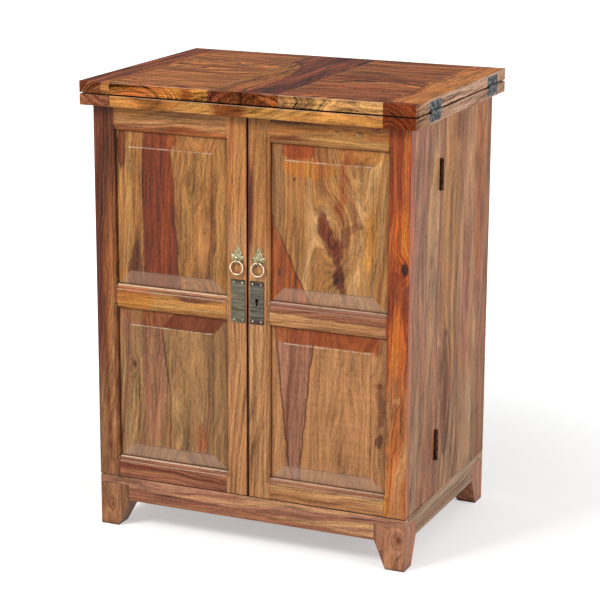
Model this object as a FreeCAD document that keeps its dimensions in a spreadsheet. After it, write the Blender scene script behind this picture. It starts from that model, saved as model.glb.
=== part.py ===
import FreeCAD, Part
import math
import os
import Sketcher

# Bar cabinet with two box doors and a leaf that folds out to the right. Millimetres.
# X runs to the right, Y to the back, Z up. The origin is on the floor under the middle of the body.
# The front 167 mm of the body belongs to the doors; the carcass behind them carries the top.

SIZES = {
    # body
    "body_width": 688,
    "body_depth": 480,
    "body_height": 791,
    "door_depth": 167,
    "joint_gap": 1.0,
    "side_thickness": 20,
    "back_thickness": 9,
    "back_inset": 10,
    "back_groove": 8,
    "back_float": 0.5,
    # base
    "base_height": 110,
    "apron_height": 51,
    "apron_thickness": 22,
    "foot_height": 93,
    "foot_top_width": 66,
    "foot_sole_width": 41,
    # two tops
    "side_overhang": 18,
    "front_overhang": 23,
    "rear_overhang": 26,
    "lower_top_thickness": 22.5,
    "leaf_gap": 3.0,
    "leaf_thickness": 23.5,
    "cleat_width": 68,
    "centre_board_width": 75,
    "pad_radius": 7,
    "pad_clearance": 0.3,
    "pad_inset": 30,
    # fittings of the carcass
    "shelf_thickness": 18,
    "shelf_height": 395,
    "shelf_setback": 6,
    "cleat_size": 18,
    "cleat_setback": 20,
    "bottle_rail_thickness": 18,
    "bottle_rail_height": 70,
    "bottle_rail_setback": 15,
    "bottle_rail_spacing": 180,
    "bottle_radius": 42,
    "bottle_sink": 30,
    "bottle_places": 5,
    "rack_thickness": 12,
    "rack_drop": 32,
    "rack_depth": 230,
    "rack_slot_width": 24,
    "rack_slot_depth": 190,
    "rack_slots": 5,
    # door frames and panels
    "door_gap": 3.5,
    "door_floor_gap": 2.0,
    "door_top_gap": 2.5,
    "frame_thickness": 22,
    "stile_width": 46.5,
    "top_rail_width": 49,
    "middle_rail_width": 52,
    "middle_rail_height": 392.25,
    "bottom_rail_width": 45.5,
    "stile_moulding": 7,
    "rail_moulding": 11,
    "moulding_depth": 8,
    "moulding_step": 1.5,
    "panel_thickness": 8,
    "panel_tongue": 8,
    "panel_float": 1.0,
    "bevel_width": 31,
    "field_depth": 1.0,
    "field_step": 1.5,
    # door boxes
    "inner_side_thickness": 14,
    "box_board_thickness": 14,
    "gallery_height": 60,
    "gallery_width": 30,
    "gallery_thickness": 10,
    # door hinges
    "door_hinge_length": 64,
    "door_hinge_width": 18,
    "door_barrel_radius": 5,
    "door_pin_radius": 2,
    "door_pin_offset": 2,
    "door_hinge_low": 107,
    "door_hinge_high": 115.5,
    # leaf hinges
    "leaf_hinge_length": 63.5,
    "leaf_hinge_width": 20.5,
    "leaf_barrel_radius": 3,
    "leaf_pin_radius": 1.5,
    "leaf_pin_offset": 1,
    "leaf_hinge_front": 102,
    "leaf_hinge_rear": 83,
    # both kinds of hinge
    "hinge_thickness": 1.6,
    "knuckle_gap": 0.3,
    "barrel_clearance": 0.3,
    "pin_clearance": 0.05,
    "screw_radius": 1.4,
    "screw_head_radius": 2.8,
    "screw_length": 13,
    "screw_clearance": 0.05,
    # pulls and iron plates
    "left_pull_offset": 22,
    "right_pull_offset": 24,
    "pull_height": 494.8,
    "rosette_thickness": 2.5,
    "rosette_width": 32,
    "rosette_rise": 31.5,
    "rosette_fall": 7,
    "lug_width": 5,
    "lug_radius": 3.4,
    "ring_radius": 13.8,
    "ring_wire_radius": 1.7,
    "ring_standoff": 5.2,
    "eye_clearance": 0.4,
    "plate_offset": 20.7,
    "plate_width": 30,
    "plate_height": 88,
    "plate_thickness": 1.5,
    "plate_level": 411.5,
    "nail_spread": 18.5,
    "nail_rise": 77,
    "nail_head_radius": 2.3,
    "nail_head_height": 1.3,
    "nail_radius": 1.0,
    "nail_length": 10,
    # lock in the right door
    "keyhole_level": 416.5,
    "keyhole_radius": 3.8,
    "keyhole_slot_width": 3.6,
    "keyhole_slot_length": 11.5,
    "lock_cover": 6,
    "lock_thickness": 10,
    "lock_width": 34,
    "lock_height": 60,
    "lock_keyway_depth": 7,
    "lock_bolt_rise": 16,
    "lock_bolt_height": 14,
    "lock_bolt_thickness": 7,
    "lock_bolt_length": 29,
    "lock_bolt_setback": 0.5,
    "lock_bolt_throw": 8,
    "bolt_clearance": 0.3,
    # tower bolt on the left door
    "tower_radius": 4,
    "tower_length": 116,
    "tower_setback": 2.5,
    "tower_throw": 12,
    "tower_offset": 10,
    "tower_inset": 20,
    "guide_size": 14,
    "guide_height": 10,
    "guide_spacing": 70,
    "knob_radius": 3,
    "knob_length": 12,
}

OVOLO_STEPS = 4
QUARTER_BULGE = math.tan(math.pi / 8)
KNUCKLES = 5
SCREW_ACROSS = 0.62
SCREW_ALONG = (0.24, 0.76)

# The rosette's outline as shares of its half width and its rise, from the stalk up to the waist.
ROSETTE_STALK = 0.25
ROSETTE_NOTCH = (0.5, 0.04)
ROSETTE_SIDE_TIP = 0.3
ROSETTE_WAIST = (0.4, 0.5)

doc = FreeCAD.newDocument("bar_cabinet")
sheet = doc.addObject("Spreadsheet::Sheet", "dims")
pieces = []


class Formula:
    """A length kept both as an expression on the sheet and as its present number."""

    def __init__(self, text, value):
        self.text = text
        self.value = value

    def __add__(self, other):
        other = formula(other)
        return Formula(f"({self.text} + {other.text})", self.value + other.value)

    def __radd__(self, other):
        return formula(other) + self

    def __sub__(self, other):
        other = formula(other)
        return Formula(f"({self.text} - {other.text})", self.value - other.value)

    def __rsub__(self, other):
        return formula(other) - self

    def __mul__(self, factor):
        factor = formula(factor)
        return Formula(f"({self.text} * {factor.text})", self.value * factor.value)

    def __rmul__(self, factor):
        return self * factor

    def __truediv__(self, divisor):
        divisor = formula(divisor)
        return Formula(f"({self.text} / {divisor.text})", self.value / divisor.value)

    def __neg__(self):
        return Formula(f"(0 - {self.text})", -self.value)


def formula(value):
    if isinstance(value, Formula):
        return value
    return Formula(repr(float(value)), float(value))


class Sheet:
    """The driving dimensions by name, each a cell of the spreadsheet."""

    def __init__(self):
        for row, (name, value) in enumerate(SIZES.items(), start=1):
            sheet.set(f"A{row}", name)
            sheet.set(f"B{row}", str(value))
            sheet.setAlias(f"B{row}", name)
            setattr(self, name, Formula(f"dims.{name}", float(value)))


size = Sheet()
doc.recompute()


# Tools that bind shapes to the sheet. A span is a (low, high) pair of lengths.


def bind(item, prop, value):
    item.setExpression(prop, formula(value).text)


def place(item, x, y, z, rotation=None):
    if rotation is not None:
        item.Placement = FreeCAD.Placement(FreeCAD.Vector(0, 0, 0), rotation)
    bind(item, "Placement.Base.x", x)
    bind(item, "Placement.Base.y", y)
    bind(item, "Placement.Base.z", z)


def mirrored(side, low, high):
    """A span beside the middle plane, on the right for side 1 and on the left for side -1."""
    return (low, high) if side > 0 else (-high, -low)


def box(name, xs, ys, zs):
    item = doc.addObject("Part::Box", name)
    bind(item, "Length", xs[1] - xs[0])
    bind(item, "Width", ys[1] - ys[0])
    bind(item, "Height", zs[1] - zs[0])
    place(item, xs[0], ys[0], zs[0])
    return item


TURN = {
    "X": FreeCAD.Rotation(FreeCAD.Vector(0, 1, 0), 90),
    "Y": FreeCAD.Rotation(FreeCAD.Vector(1, 0, 0), -90),
    "Z": FreeCAD.Rotation(),
}


def cylinder(name, start, axis, radius, length):
    item = doc.addObject("Part::Cylinder", name)
    bind(item, "Radius", radius)
    bind(item, "Height", length)
    place(item, *start, TURN[axis])
    return item


def cone(name, start, axis, radius, end_radius, length):
    item = doc.addObject("Part::Cone", name)
    bind(item, "Radius1", radius)
    bind(item, "Radius2", end_radius)
    bind(item, "Height", length)
    place(item, *start, TURN[axis])
    return item


def wedge(name, corners):
    item = doc.addObject("Part::Wedge", name)
    for prop, value in corners.items():
        bind(item, prop, value)
    return item


def frustum_back(name, ys, front, rear):
    """A block that tapers along Y, between a front and a rear (x span, z span) rectangle."""
    (front_x, front_z), (rear_x, rear_z) = front, rear
    return wedge(name, {
        "Ymin": ys[0], "Ymax": ys[1],
        "Xmin": front_x[0], "Xmax": front_x[1], "Zmin": front_z[0], "Zmax": front_z[1],
        "X2min": rear_x[0], "X2max": rear_x[1], "Z2min": rear_z[0], "Z2max": rear_z[1],
    })


def frustum_up(name, zs, low, high):
    """A block that tapers along Z, between a low and a high (x span, y span) rectangle."""
    (low_x, low_y), (high_x, high_y) = low, high
    item = wedge(name, {
        "Ymin": zs[0], "Ymax": zs[1],
        "Xmin": low_x[0], "Xmax": low_x[1], "Zmin": -low_y[1], "Zmax": -low_y[0],
        "X2min": high_x[0], "X2max": high_x[1], "Z2min": -high_y[1], "Z2max": -high_y[0],
    })
    item.Placement = FreeCAD.Placement(
        FreeCAD.Vector(0, 0, 0), FreeCAD.Rotation(FreeCAD.Vector(1, 0, 0), 90))
    return item


def fuse(name, items):
    item = doc.addObject("Part::MultiFuse", name)
    item.Shapes = items
    item.Refine = True
    return item


def cut(name, base, tools):
    item = doc.addObject("Part::Cut", name)
    item.Base = base
    item.Tool = tools[0] if len(tools) == 1 else fuse(f"{name}_tools", tools)
    item.Refine = True
    return item


def group(name, items):
    item = doc.addObject("Part::Compound", name)
    item.Links = items
    return item


def piece(label, item):
    """Names a finished sub-part. Its label is the name of its file."""
    item.Label = label
    pieces.append(item)
    return item


# Sketches. A sketch lies on a plane of its own body, and every point of it is bound to the sheet.


def new_body(name):
    return doc.addObject("PartDesign::Body", name)


def new_sketch(body, name, plane):
    sketch = body.newObject("Sketcher::SketchObject", name)
    origin_plane = [part for part in body.Origin.OriginFeatures if part.Role == plane][0]
    sketch.AttachmentSupport = [(origin_plane, "")]
    sketch.MapMode = "FlatFace"
    return sketch


def hold(sketch, kind, value, *where):
    index = sketch.addConstraint(Sketcher.Constraint(kind, *where, value.value))
    sketch.setExpression(f"Constraints[{index}]", value.text)


def hold_point(sketch, edge, end, point):
    for kind, value in zip(("DistanceX", "DistanceY"), point):
        value = formula(value)
        if abs(value.value) < 1e-9:
            twin = "PointOnObject"
            axis = -2 if kind == "DistanceX" else -1
            sketch.addConstraint(Sketcher.Constraint(twin, edge, end, axis))
        else:
            hold(sketch, kind, value, -1, 1, edge, end)


def draw_outline(sketch, points):
    """A closed outline. Each point is (x, y, bulge): the edge that leaves it is an arc whose
    height is bulge times half its chord, to the right of the way it goes, or straight for 0."""
    count = len(points)
    edges = []
    for number, (x, y, bulge) in enumerate(points):
        next_x, next_y, _ = points[(number + 1) % count]
        start = FreeCAD.Vector(formula(x).value, formula(y).value, 0)
        end = FreeCAD.Vector(formula(next_x).value, formula(next_y).value, 0)
        if bulge == 0:
            edges.append(sketch.addGeometry(Part.LineSegment(start, end)))
            continue
        half = (end - start) * 0.5
        crown = start + half + FreeCAD.Vector(half.y, -half.x, 0) * bulge
        edges.append(sketch.addGeometry(Part.Arc(start, crown, end)))
        chord_x = formula(next_x) - x
        chord_y = formula(next_y) - y
        chord = Formula(f"sqrt({chord_x.text}^2 + {chord_y.text}^2)", 2 * half.Length)
        arc_radius = chord * ((1 + bulge ** 2) / (4 * abs(bulge)))
        hold(sketch, "Radius", arc_radius, edges[-1])
    for number, edge in enumerate(edges):
        x, y, bulge = points[number]
        before = points[number - 1][2]
        first = 2 if bulge < 0 else 1
        last = 1 if before < 0 else 2
        sketch.addConstraint(Sketcher.Constraint("Coincident", edges[number - 1], last, edge, first))
        hold_point(sketch, edge, first, (x, y))


def draw_circle(sketch, x, y, radius):
    centre = FreeCAD.Vector(formula(x).value, formula(y).value, 0)
    edge = sketch.addGeometry(Part.Circle(centre, FreeCAD.Vector(0, 0, 1), radius.value))
    hold_point(sketch, edge, 3, (x, y))
    hold(sketch, "Radius", radius, edge)


def pad(body, sketch, name, length, midplane=False):
    feature = body.newObject("PartDesign::Pad", name)
    feature.Profile = sketch
    feature.Midplane = midplane
    bind(feature, "Length", length)
    return feature


# Planes and levels that several pieces share.

front = -size.body_depth / 2
back = size.body_depth / 2
side_face = size.body_width / 2
inside = side_face - size.side_thickness
joint = front + size.door_depth
door_rear = joint - size.joint_gap / 2
carcass_front = joint + size.joint_gap / 2
floor_level = size.base_height
body_top = floor_level + size.body_height
door_bottom = floor_level + size.door_floor_gap
door_top = body_top - size.door_top_gap
lower_top_face = body_top + size.lower_top_thickness
leaf_underside = lower_top_face + size.leaf_gap
leaf_face = leaf_underside + size.leaf_thickness
top_end = side_face + size.side_overhang
top_depth = (front - size.front_overhang, back + size.rear_overhang)
back_panel_front = back - size.back_inset - size.back_thickness
shelf_level = floor_level + size.shelf_height
middle = formula(0)


# Butt hinges. A leaf is made in its own frame: the pin runs along Z from 0 to the length, the
# plate lies on the +X side of it, and the screws go into the wood along +Y.


class Hinge:
    """The sizes of one kind of hinge."""

    def __init__(self, kind, offset):
        self.length = getattr(size, f"{kind}_hinge_length")
        self.width = getattr(size, f"{kind}_hinge_width")
        self.barrel = getattr(size, f"{kind}_barrel_radius")
        self.pin = getattr(size, f"{kind}_pin_radius")
        self.offset = offset
        self.kind = kind

    def plate_span(self):
        return (self.offset, self.offset + size.hinge_thickness)

    def knuckle(self, number):
        step = self.length / KNUCKLES
        return (step * number, step * (number + 1))

    def screw_places(self):
        return [(self.width * SCREW_ACROSS, self.length * share) for share in SCREW_ALONG]


door_hinge = Hinge("door", size.joint_gap / 2)
leaf_hinge = Hinge("leaf", size.leaf_pin_offset)


def hinge_leaf(name, hinge, own_knuckles):
    """One leaf with its own knuckles, cleared round the knuckles of the other leaf."""
    plate = box(f"{name}_plate", (middle, hinge.width), hinge.plate_span(), (middle, hinge.length))
    clearances = []
    barrels = []
    for number in range(KNUCKLES):
        low, high = hinge.knuckle(number)
        if number in own_knuckles:
            barrels.append(cylinder(
                f"{name}_knuckle", (middle, middle, low + size.knuckle_gap / 2), "Z",
                hinge.barrel, high - low - size.knuckle_gap))
        else:
            clearances.append(cylinder(
                f"{name}_clearance", (middle, middle, low - size.knuckle_gap / 2), "Z",
                hinge.barrel + size.barrel_clearance, high - low + size.knuckle_gap))
    body = fuse(f"{name}_blank", [cut(f"{name}_notched", plate, clearances)] + barrels)
    holes = [cylinder(f"{name}_pin_hole", (middle, middle, middle), "Z",
                      hinge.pin + size.pin_clearance, hinge.length)]
    for x, z in hinge.screw_places():
        holes.append(cone(
            f"{name}_countersink", (x, hinge.offset, z), "Y",
            size.screw_head_radius + size.screw_clearance,
            size.screw_radius + size.screw_clearance, size.hinge_thickness))
    return cut(name, body, holes)


def hinge_screw(name, hinge, x, z):
    head = cone(f"{name}_head", (x, hinge.offset, z), "Y",
                size.screw_head_radius, size.screw_radius, size.hinge_thickness)
    shank = cylinder(f"{name}_shank", (x, hinge.offset + size.hinge_thickness, z), "Y",
                     size.screw_radius, size.screw_length)
    return fuse(name, [head, shank])


def hinge_seat(name, hinge):
    """What a leaf takes out of its board: the let-in plate, barrel room and screw holes."""
    cutters = [
        box(f"{name}_recess", (middle, hinge.width), hinge.plate_span(), (middle, hinge.length)),
        cylinder(f"{name}_room", (middle, middle, -size.knuckle_gap), "Z",
                 hinge.barrel + size.barrel_clearance * 2, hinge.length + size.knuckle_gap * 2),
    ]
    for x, z in hinge.screw_places():
        cutters.append(cylinder(
            f"{name}_pilot", (x, hinge.offset, z), "Y",
            size.screw_radius + size.screw_clearance, size.hinge_thickness + size.screw_length))
    return fuse(name, cutters)


def along(way):
    """The unit vector of a word such as +X or -Z."""
    sign = 1 if way[0] == "+" else -1
    return FreeCAD.Vector(*[sign * (letter == way[1]) for letter in "XYZ"])


def mount_leaf(name, hinge, own_knuckles, start, plate_way, screw_way):
    """A leaf, its screws and its seat, where the pin's middle is at start."""
    x_way = along(plate_way)
    y_way = along(screw_way)
    z_way = x_way.cross(y_way)
    rotation = FreeCAD.Rotation(x_way, y_way, z_way, "ZXY")
    base = []
    for centre, component in zip(start, (z_way.x, z_way.y, z_way.z)):
        base.append(formula(centre) - hinge.length / 2 * round(component))
    leaf = hinge_leaf(name, hinge, own_knuckles)
    seat = hinge_seat(f"{name}_seat", hinge)
    screws = [hinge_screw(f"{name}_screw", hinge, x, z) for x, z in hinge.screw_places()]
    for item in [leaf, seat] + screws:
        place(item, *base, rotation)
    return leaf, seat, screws


FIXED_KNUCKLES = (0, 2, 4)
MOVING_KNUCKLES = (1, 3)


# Base: aprons notched over four bracket feet, with the floor board let in between them.


def build_base():
    apron_low = floor_level - size.apron_height
    apron_z = (apron_low, floor_level)
    foot_plan = size.foot_top_width
    notch_z = (apron_low, size.foot_height)
    full_x = (-side_face, side_face)
    side_y = (front + size.apron_thickness, back - size.apron_thickness)
    corners = [(x, y) for y in (-1, 1) for x in (-1, 1)]

    def corner_span(sign, face, width):
        return mirrored(sign, face - width, face)

    def foot_blocks(name):
        return [
            box(name, corner_span(x, side_face, foot_plan), corner_span(y, back, foot_plan), notch_z)
            for x, y in corners
        ]

    for label, y_low in (("front_apron", front), ("rear_apron", back - size.apron_thickness)):
        board = box(f"{label}_blank", full_x, (y_low, y_low + size.apron_thickness), apron_z)
        piece(label, cut(label, board, foot_blocks(f"{label}_notch")))
    boards = []
    for side in (-1, 1):
        ends = mirrored(side, side_face - size.apron_thickness, side_face)
        board = box("side_apron_blank", ends, side_y, apron_z)
        boards.append(cut("side_apron", board, foot_blocks("side_apron_notch")))
    piece("side_aprons", group("side_aprons", boards))

    feet = []
    for (x, y), block in zip(corners, foot_blocks("foot_block")):
        sole = (corner_span(x, side_face, size.foot_sole_width),
                corner_span(y, back, size.foot_sole_width))
        ankle = (corner_span(x, side_face, foot_plan), corner_span(y, back, foot_plan))
        taper = frustum_up("foot_taper", (middle, apron_low), sole, ankle)
        feet.append(fuse("foot", [block, taper]))
    piece("feet", group("feet", feet))

    inner = side_face - size.apron_thickness
    piece("floor_board", box("floor_board", (-inner, inner), side_y, (size.foot_height, floor_level)))


# Carcass: side boards, back panel, shelf and the two racks.


def build_carcass(seats):
    carcass_z = (floor_level, body_top)
    groove_y = (back_panel_front, back_panel_front + size.back_thickness)
    groove_depth = inside + size.back_groove
    groove = box("back_groove", (-groove_depth, groove_depth), groove_y, carcass_z)
    for side, label in ((-1, "left_side_board"), (1, "right_side_board")):
        board = box(f"{label}_blank", mirrored(side, inside, side_face),
                    (carcass_front, back), carcass_z)
        piece(label, cut(label, board, seats[side] + [groove]))
    panel_edge = groove_depth - size.back_float
    piece("back_panel", box("back_panel", (-panel_edge, panel_edge), groove_y, carcass_z))

    shelf_y = (carcass_front + size.shelf_setback, back_panel_front)
    piece("middle_shelf", box("middle_shelf", (-inside, inside), shelf_y,
                              (shelf_level - size.shelf_thickness, shelf_level)))
    build_bottle_rails()
    build_stemware_rack()


def build_bottle_rails():
    first = carcass_front + size.bottle_rail_setback
    pitch = inside * 2 / size.bottle_places
    top = floor_level + size.bottle_rail_height
    cradle_axis = top + size.bottle_radius - size.bottle_sink
    rails = []
    for y_low in (first, first + size.bottle_rail_spacing):
        ys = (y_low, y_low + size.bottle_rail_thickness)
        blank = box("bottle_rail_blank", (-inside, inside), ys, (floor_level, top))
        cradles = []
        for number in range(int(size.bottle_places.value)):
            x = -inside + pitch * (number + 0.5)
            cradles.append(cylinder("bottle_cradle", (x, y_low, cradle_axis), "Y",
                                    size.bottle_radius, size.bottle_rail_thickness))
        rails.append(cut("bottle_rail", blank, cradles))
    piece("bottle_rack_rails", group("bottle_rack_rails", rails))


def build_stemware_rack():
    rack_top = body_top - size.rack_drop
    rack_low = rack_top - size.rack_thickness
    y_front = carcass_front + size.shelf_setback
    ys = (y_front, y_front + size.rack_depth)
    blank = box("rack_blank", (-inside, inside), ys, (rack_low, rack_top))
    pitch = inside * 2 / size.rack_slots
    reach = size.rack_slot_depth - size.rack_slot_width / 2
    slots = []
    for number in range(int(size.rack_slots.value)):
        x = -inside + pitch * (number + 0.5)
        half = size.rack_slot_width / 2
        slots.append(box("rack_slot", (x - half, x + half), (y_front, y_front + reach),
                         (rack_low, rack_top)))
        slots.append(cylinder("rack_slot_end", (x, y_front + reach, rack_low), "Z",
                              half, size.rack_thickness))
    piece("stemware_rack", cut("stemware_rack", blank, slots))

    cleats = []
    for top in (shelf_level - size.shelf_thickness, rack_low):
        for side in (-1, 1):
            xs = mirrored(side, inside - size.cleat_size, inside)
            cleat_y = (y_front + size.cleat_setback, y_front + size.rack_depth)
            cleats.append(box("support_cleat", xs, cleat_y, (top - size.cleat_size, top)))
    piece("support_cleats", group("support_cleats", cleats))


# The fixed lower top and the folding leaf.


def build_lower_top(seats):
    zs = (body_top, lower_top_face)
    field = top_end - size.cleat_width
    left = box("lower_cleat_left", (-top_end, -field), top_depth, zs)
    right = cut("lower_cleat_right", box("lower_cleat_blank", (field, top_end), top_depth, zs), seats)
    piece("lower_top_cleats", group("lower_top_cleats", [left, right]))
    board = box("lower_top_blank", (-field, field), top_depth, zs)
    socket = cylinder("tower_socket", (tower_x, tower_y, body_top), "Z",
                      size.tower_radius + size.bolt_clearance * 2, size.tower_throw)
    piece("lower_top_board", cut("lower_top_board", board, [socket]))
    pads = []
    for x in (-top_end + size.pad_inset, top_end - size.pad_inset):
        for y in (top_depth[0] + size.pad_inset, top_depth[1] - size.pad_inset):
            pads.append(cylinder("leaf_pad", (x, y, lower_top_face), "Z", size.pad_radius,
                                 size.leaf_gap - size.pad_clearance))
    piece("leaf_pads", group("leaf_pads", pads))


def build_leaf(seats):
    zs = (leaf_underside, leaf_face)
    field = top_end - size.cleat_width
    band = size.centre_board_width
    left = box("leaf_cleat_left", (-top_end, -field), top_depth, zs)
    right = cut("leaf_cleat_right", box("leaf_cleat_blank", (field, top_end), top_depth, zs), seats)
    piece("leaf_cleats", group("leaf_cleats", [left, right]))
    fields = [box("leaf_field", xs, top_depth, zs) for xs in ((-field, -band), (band, field))]
    piece("leaf_field_boards", group("leaf_field_boards", fields))
    bands = [box("leaf_band", xs, top_depth, zs) for xs in ((-band, middle), (middle, band))]
    piece("leaf_centre_boards", group("leaf_centre_boards", bands))


# Doors. Every door is built for the right side and mirrored by its spans for the left.


def opening_cutter(name, xs, zs):
    """The moulded edge round one panel opening: a small step at the face, then an ovolo that is
    wider on the rails than on the stiles, cut in straight facets and mitred at the corners."""
    depth = size.moulding_depth
    step = size.moulding_step

    def widened(share):
        wide = size.stile_moulding * share
        tall = size.rail_moulding * share
        return (xs[0] - wide, xs[1] + wide), (zs[0] - tall, zs[1] + tall)

    wide_x, wide_z = widened(1)
    cutters = [box(f"{name}_step", wide_x, (front, front + step), wide_z)]
    angles = [math.pi / 2 * number / OVOLO_STEPS for number in range(OVOLO_STEPS + 1)]
    for near, far in zip(angles, angles[1:]):
        ys = (front + step + depth * (1 - math.cos(near)), front + step + depth * (1 - math.cos(far)))
        cutters.append(frustum_back(f"{name}_ovolo", ys, widened(1 - math.sin(near)),
                                    widened(1 - math.sin(far))))
    return fuse(name, cutters)


def raised_panel(name, xs, zs):
    """A panel with a tongue in the groove, a wide bevel, a shallow step and a flat field."""
    panel_front = front + size.moulding_step + size.moulding_depth
    reach = size.panel_tongue - size.panel_float
    bevel = size.bevel_width
    field_x = (xs[0] + bevel, xs[1] - bevel)
    field_z = (zs[0] + bevel, zs[1] - bevel)
    shoulder = front + size.field_depth + size.field_step
    return fuse(name, [
        box(f"{name}_tongue", (xs[0] - reach, xs[1] + reach),
            (panel_front, panel_front + size.panel_thickness), (zs[0] - reach, zs[1] + reach)),
        frustum_back(f"{name}_bevel", (shoulder, panel_front), (field_x, field_z), (xs, zs)),
        box(f"{name}_field", field_x, (front + size.field_depth, shoulder), field_z),
    ])


def build_door(side, prefix, seats):
    inner = size.door_gap / 2
    sight_low = inner + size.stile_width
    sight_high = side_face - size.stile_width
    rail_z = {
        "bottom": (door_bottom, door_bottom + size.bottom_rail_width),
        "middle": (door_bottom + size.middle_rail_height - size.middle_rail_width / 2,
                   door_bottom + size.middle_rail_height + size.middle_rail_width / 2),
        "top": (door_top - size.top_rail_width, door_top),
    }
    sights = [(rail_z["bottom"][1], rail_z["middle"][0]), (rail_z["middle"][1], rail_z["top"][0])]
    frame_y = (front, front + size.frame_thickness)
    groove_front = front + size.moulding_step + size.moulding_depth
    groove_y = (groove_front, groove_front + size.panel_thickness)
    sight_x = mirrored(side, sight_low, sight_high)
    openings = [opening_cutter("moulding", sight_x, zs) for zs in sights]

    groove_x = mirrored(side, sight_low - size.panel_tongue, sight_high + size.panel_tongue)
    stile_groove = box("stile_groove", groove_x, groove_y, (door_bottom, door_top))
    outer = box("outer_stile_blank", mirrored(side, sight_high, side_face), frame_y,
                (door_bottom, door_top))
    piece(f"{prefix}_outer_stile", cut("outer_stile", outer, openings + [stile_groove]))
    stile = box("inner_stile_blank", mirrored(side, inner, sight_low), frame_y, (door_bottom, door_top))
    holes = openings + [stile_groove] + nail_holes(side) + lock_holes(side)
    piece(f"{prefix}_inner_stile", cut("inner_stile", stile, holes))

    for label, grooved_low, grooved_high in (("bottom", 0, 1), ("middle", 1, 1), ("top", 1, 0)):
        low, high = rail_z[label]
        tenon_z = (low + size.panel_tongue * grooved_low, high - size.panel_tongue * grooved_high)
        rail = fuse(f"{label}_rail_blank", [
            box(f"{label}_rail_board", sight_x, frame_y, (low, high)),
            box(f"{label}_rail_tenons", groove_x, groove_y, tenon_z),
        ])
        grooves = []
        if grooved_low:
            grooves.append(box("rail_groove", groove_x, groove_y, (low, low + size.panel_tongue)))
        if grooved_high:
            grooves.append(box("rail_groove", groove_x, groove_y, (high - size.panel_tongue, high)))
        piece(f"{prefix}_{label}_rail", cut(f"{label}_rail", rail, openings + grooves))
    panels = [raised_panel("panel", sight_x, zs) for zs in sights]
    piece(f"{prefix}_panels", group("panels", panels))

    build_door_box(side, prefix, seats)
    build_pull(side, prefix)
    build_plate(side, prefix)


def build_door_box(side, prefix, seats):
    inner = size.door_gap / 2
    box_y = (front + size.frame_thickness, door_rear)
    board_x = mirrored(side, inner + size.inner_side_thickness, inside)
    outer = box("outer_side_blank", mirrored(side, inside, side_face), box_y, (door_bottom, door_top))
    piece(f"{prefix}_outer_side", cut("outer_side", outer, seats))
    piece(f"{prefix}_inner_side", box(
        "inner_side", mirrored(side, inner, inner + size.inner_side_thickness), box_y,
        (door_bottom, door_top)))
    boards = []
    galleries = []
    shelf_low = door_bottom + size.middle_rail_height - size.box_board_thickness / 2
    for low in (door_bottom, shelf_low, door_top - size.box_board_thickness):
        boards.append(box("box_board", board_x, box_y, (low, low + size.box_board_thickness)))
    for low in (door_bottom, shelf_low):
        rail_low = low + size.box_board_thickness + size.gallery_height
        galleries.append(box("gallery_rail", board_x, (door_rear - size.gallery_thickness, door_rear),
                             (rail_low, rail_low + size.gallery_width)))
    if side < 0:
        passage = cylinder("tower_passage", (tower_x, tower_y, door_top - size.box_board_thickness),
                           "Z", size.tower_radius + size.bolt_clearance, size.box_board_thickness)
        boards[-1] = cut("box_top_board", boards[-1], [passage])
    piece(f"{prefix}_box_boards", group("box_boards", boards))
    piece(f"{prefix}_gallery_rails", group("gallery_rails", galleries))


# Pulls: a leaf-shaped rosette with a lug, and a ring that hangs in the lug's eye.


def pull_place(side):
    offset = size.right_pull_offset if side > 0 else size.left_pull_offset
    return offset * side, front, door_bottom + size.pull_height


def build_pull(side, prefix):
    width = size.rosette_width / 2
    rise = size.rosette_rise
    fall = size.rosette_fall
    body = new_body("rosette")
    outline = new_sketch(body, "rosette_outline", "XZ_Plane")
    stalk = width * ROSETTE_STALK
    notch = (width * ROSETTE_NOTCH[0], rise * ROSETTE_NOTCH[1])
    side_tip = rise * ROSETTE_SIDE_TIP
    waist = (width * ROSETTE_WAIST[0], rise * ROSETTE_WAIST[1])
    hollow, lobe, crook, crown = -0.25, 0.35, -0.2, 0.55
    half = [
        (stalk, -fall, hollow),
        (*notch, lobe),
        (width, side_tip, crook),
        (*waist, crown),
        (middle, rise, crown),
    ]
    other_half = [
        (-waist[0], waist[1], crook),
        (-width, side_tip, lobe),
        (-notch[0], notch[1], hollow),
        (-stalk, -fall, 0),
    ]
    draw_outline(outline, half + other_half)
    pad(body, outline, "rosette_leaf", size.rosette_thickness)
    lug = new_sketch(body, "lug_outline", "YZ_Plane")
    root = -size.rosette_thickness / 2
    stand = -size.ring_standoff
    draw_outline(lug, [
        (stand, -size.lug_radius, 0),
        (root, -size.lug_radius, 0),
        (root, size.lug_radius, 0),
        (stand, size.lug_radius, QUARTER_BULGE),
        (stand - size.lug_radius, 0, QUARTER_BULGE),
    ])
    draw_circle(lug, stand, middle, size.ring_wire_radius + size.eye_clearance)
    pad(body, lug, "lug", size.lug_width, midplane=True)
    x, y, z = pull_place(side)
    place(body, x, y, z)
    piece(f"{prefix}_pull_rosette", body)

    ring = doc.addObject("Part::Torus", "ring")
    bind(ring, "Radius1", size.ring_radius)
    bind(ring, "Radius2", size.ring_wire_radius)
    place(ring, x, y - size.ring_standoff, z - size.ring_radius, TURN["Y"])
    piece(f"{prefix}_ring", ring)


# Iron plates: four nails each, and a keyhole in the right one.


def plate_centre(side):
    return size.plate_offset * side, door_bottom + size.plate_level


def nail_places(side):
    x, z = plate_centre(side)
    return [(x + size.nail_spread / 2 * right, z + size.nail_rise / 2 * up)
            for right in (-1, 1) for up in (-1, 1)]


def nail_holes(side):
    return [cylinder("nail_hole", (x, front, z), "Y", size.nail_radius + size.screw_clearance,
                     size.nail_length) for x, z in nail_places(side)]


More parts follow.
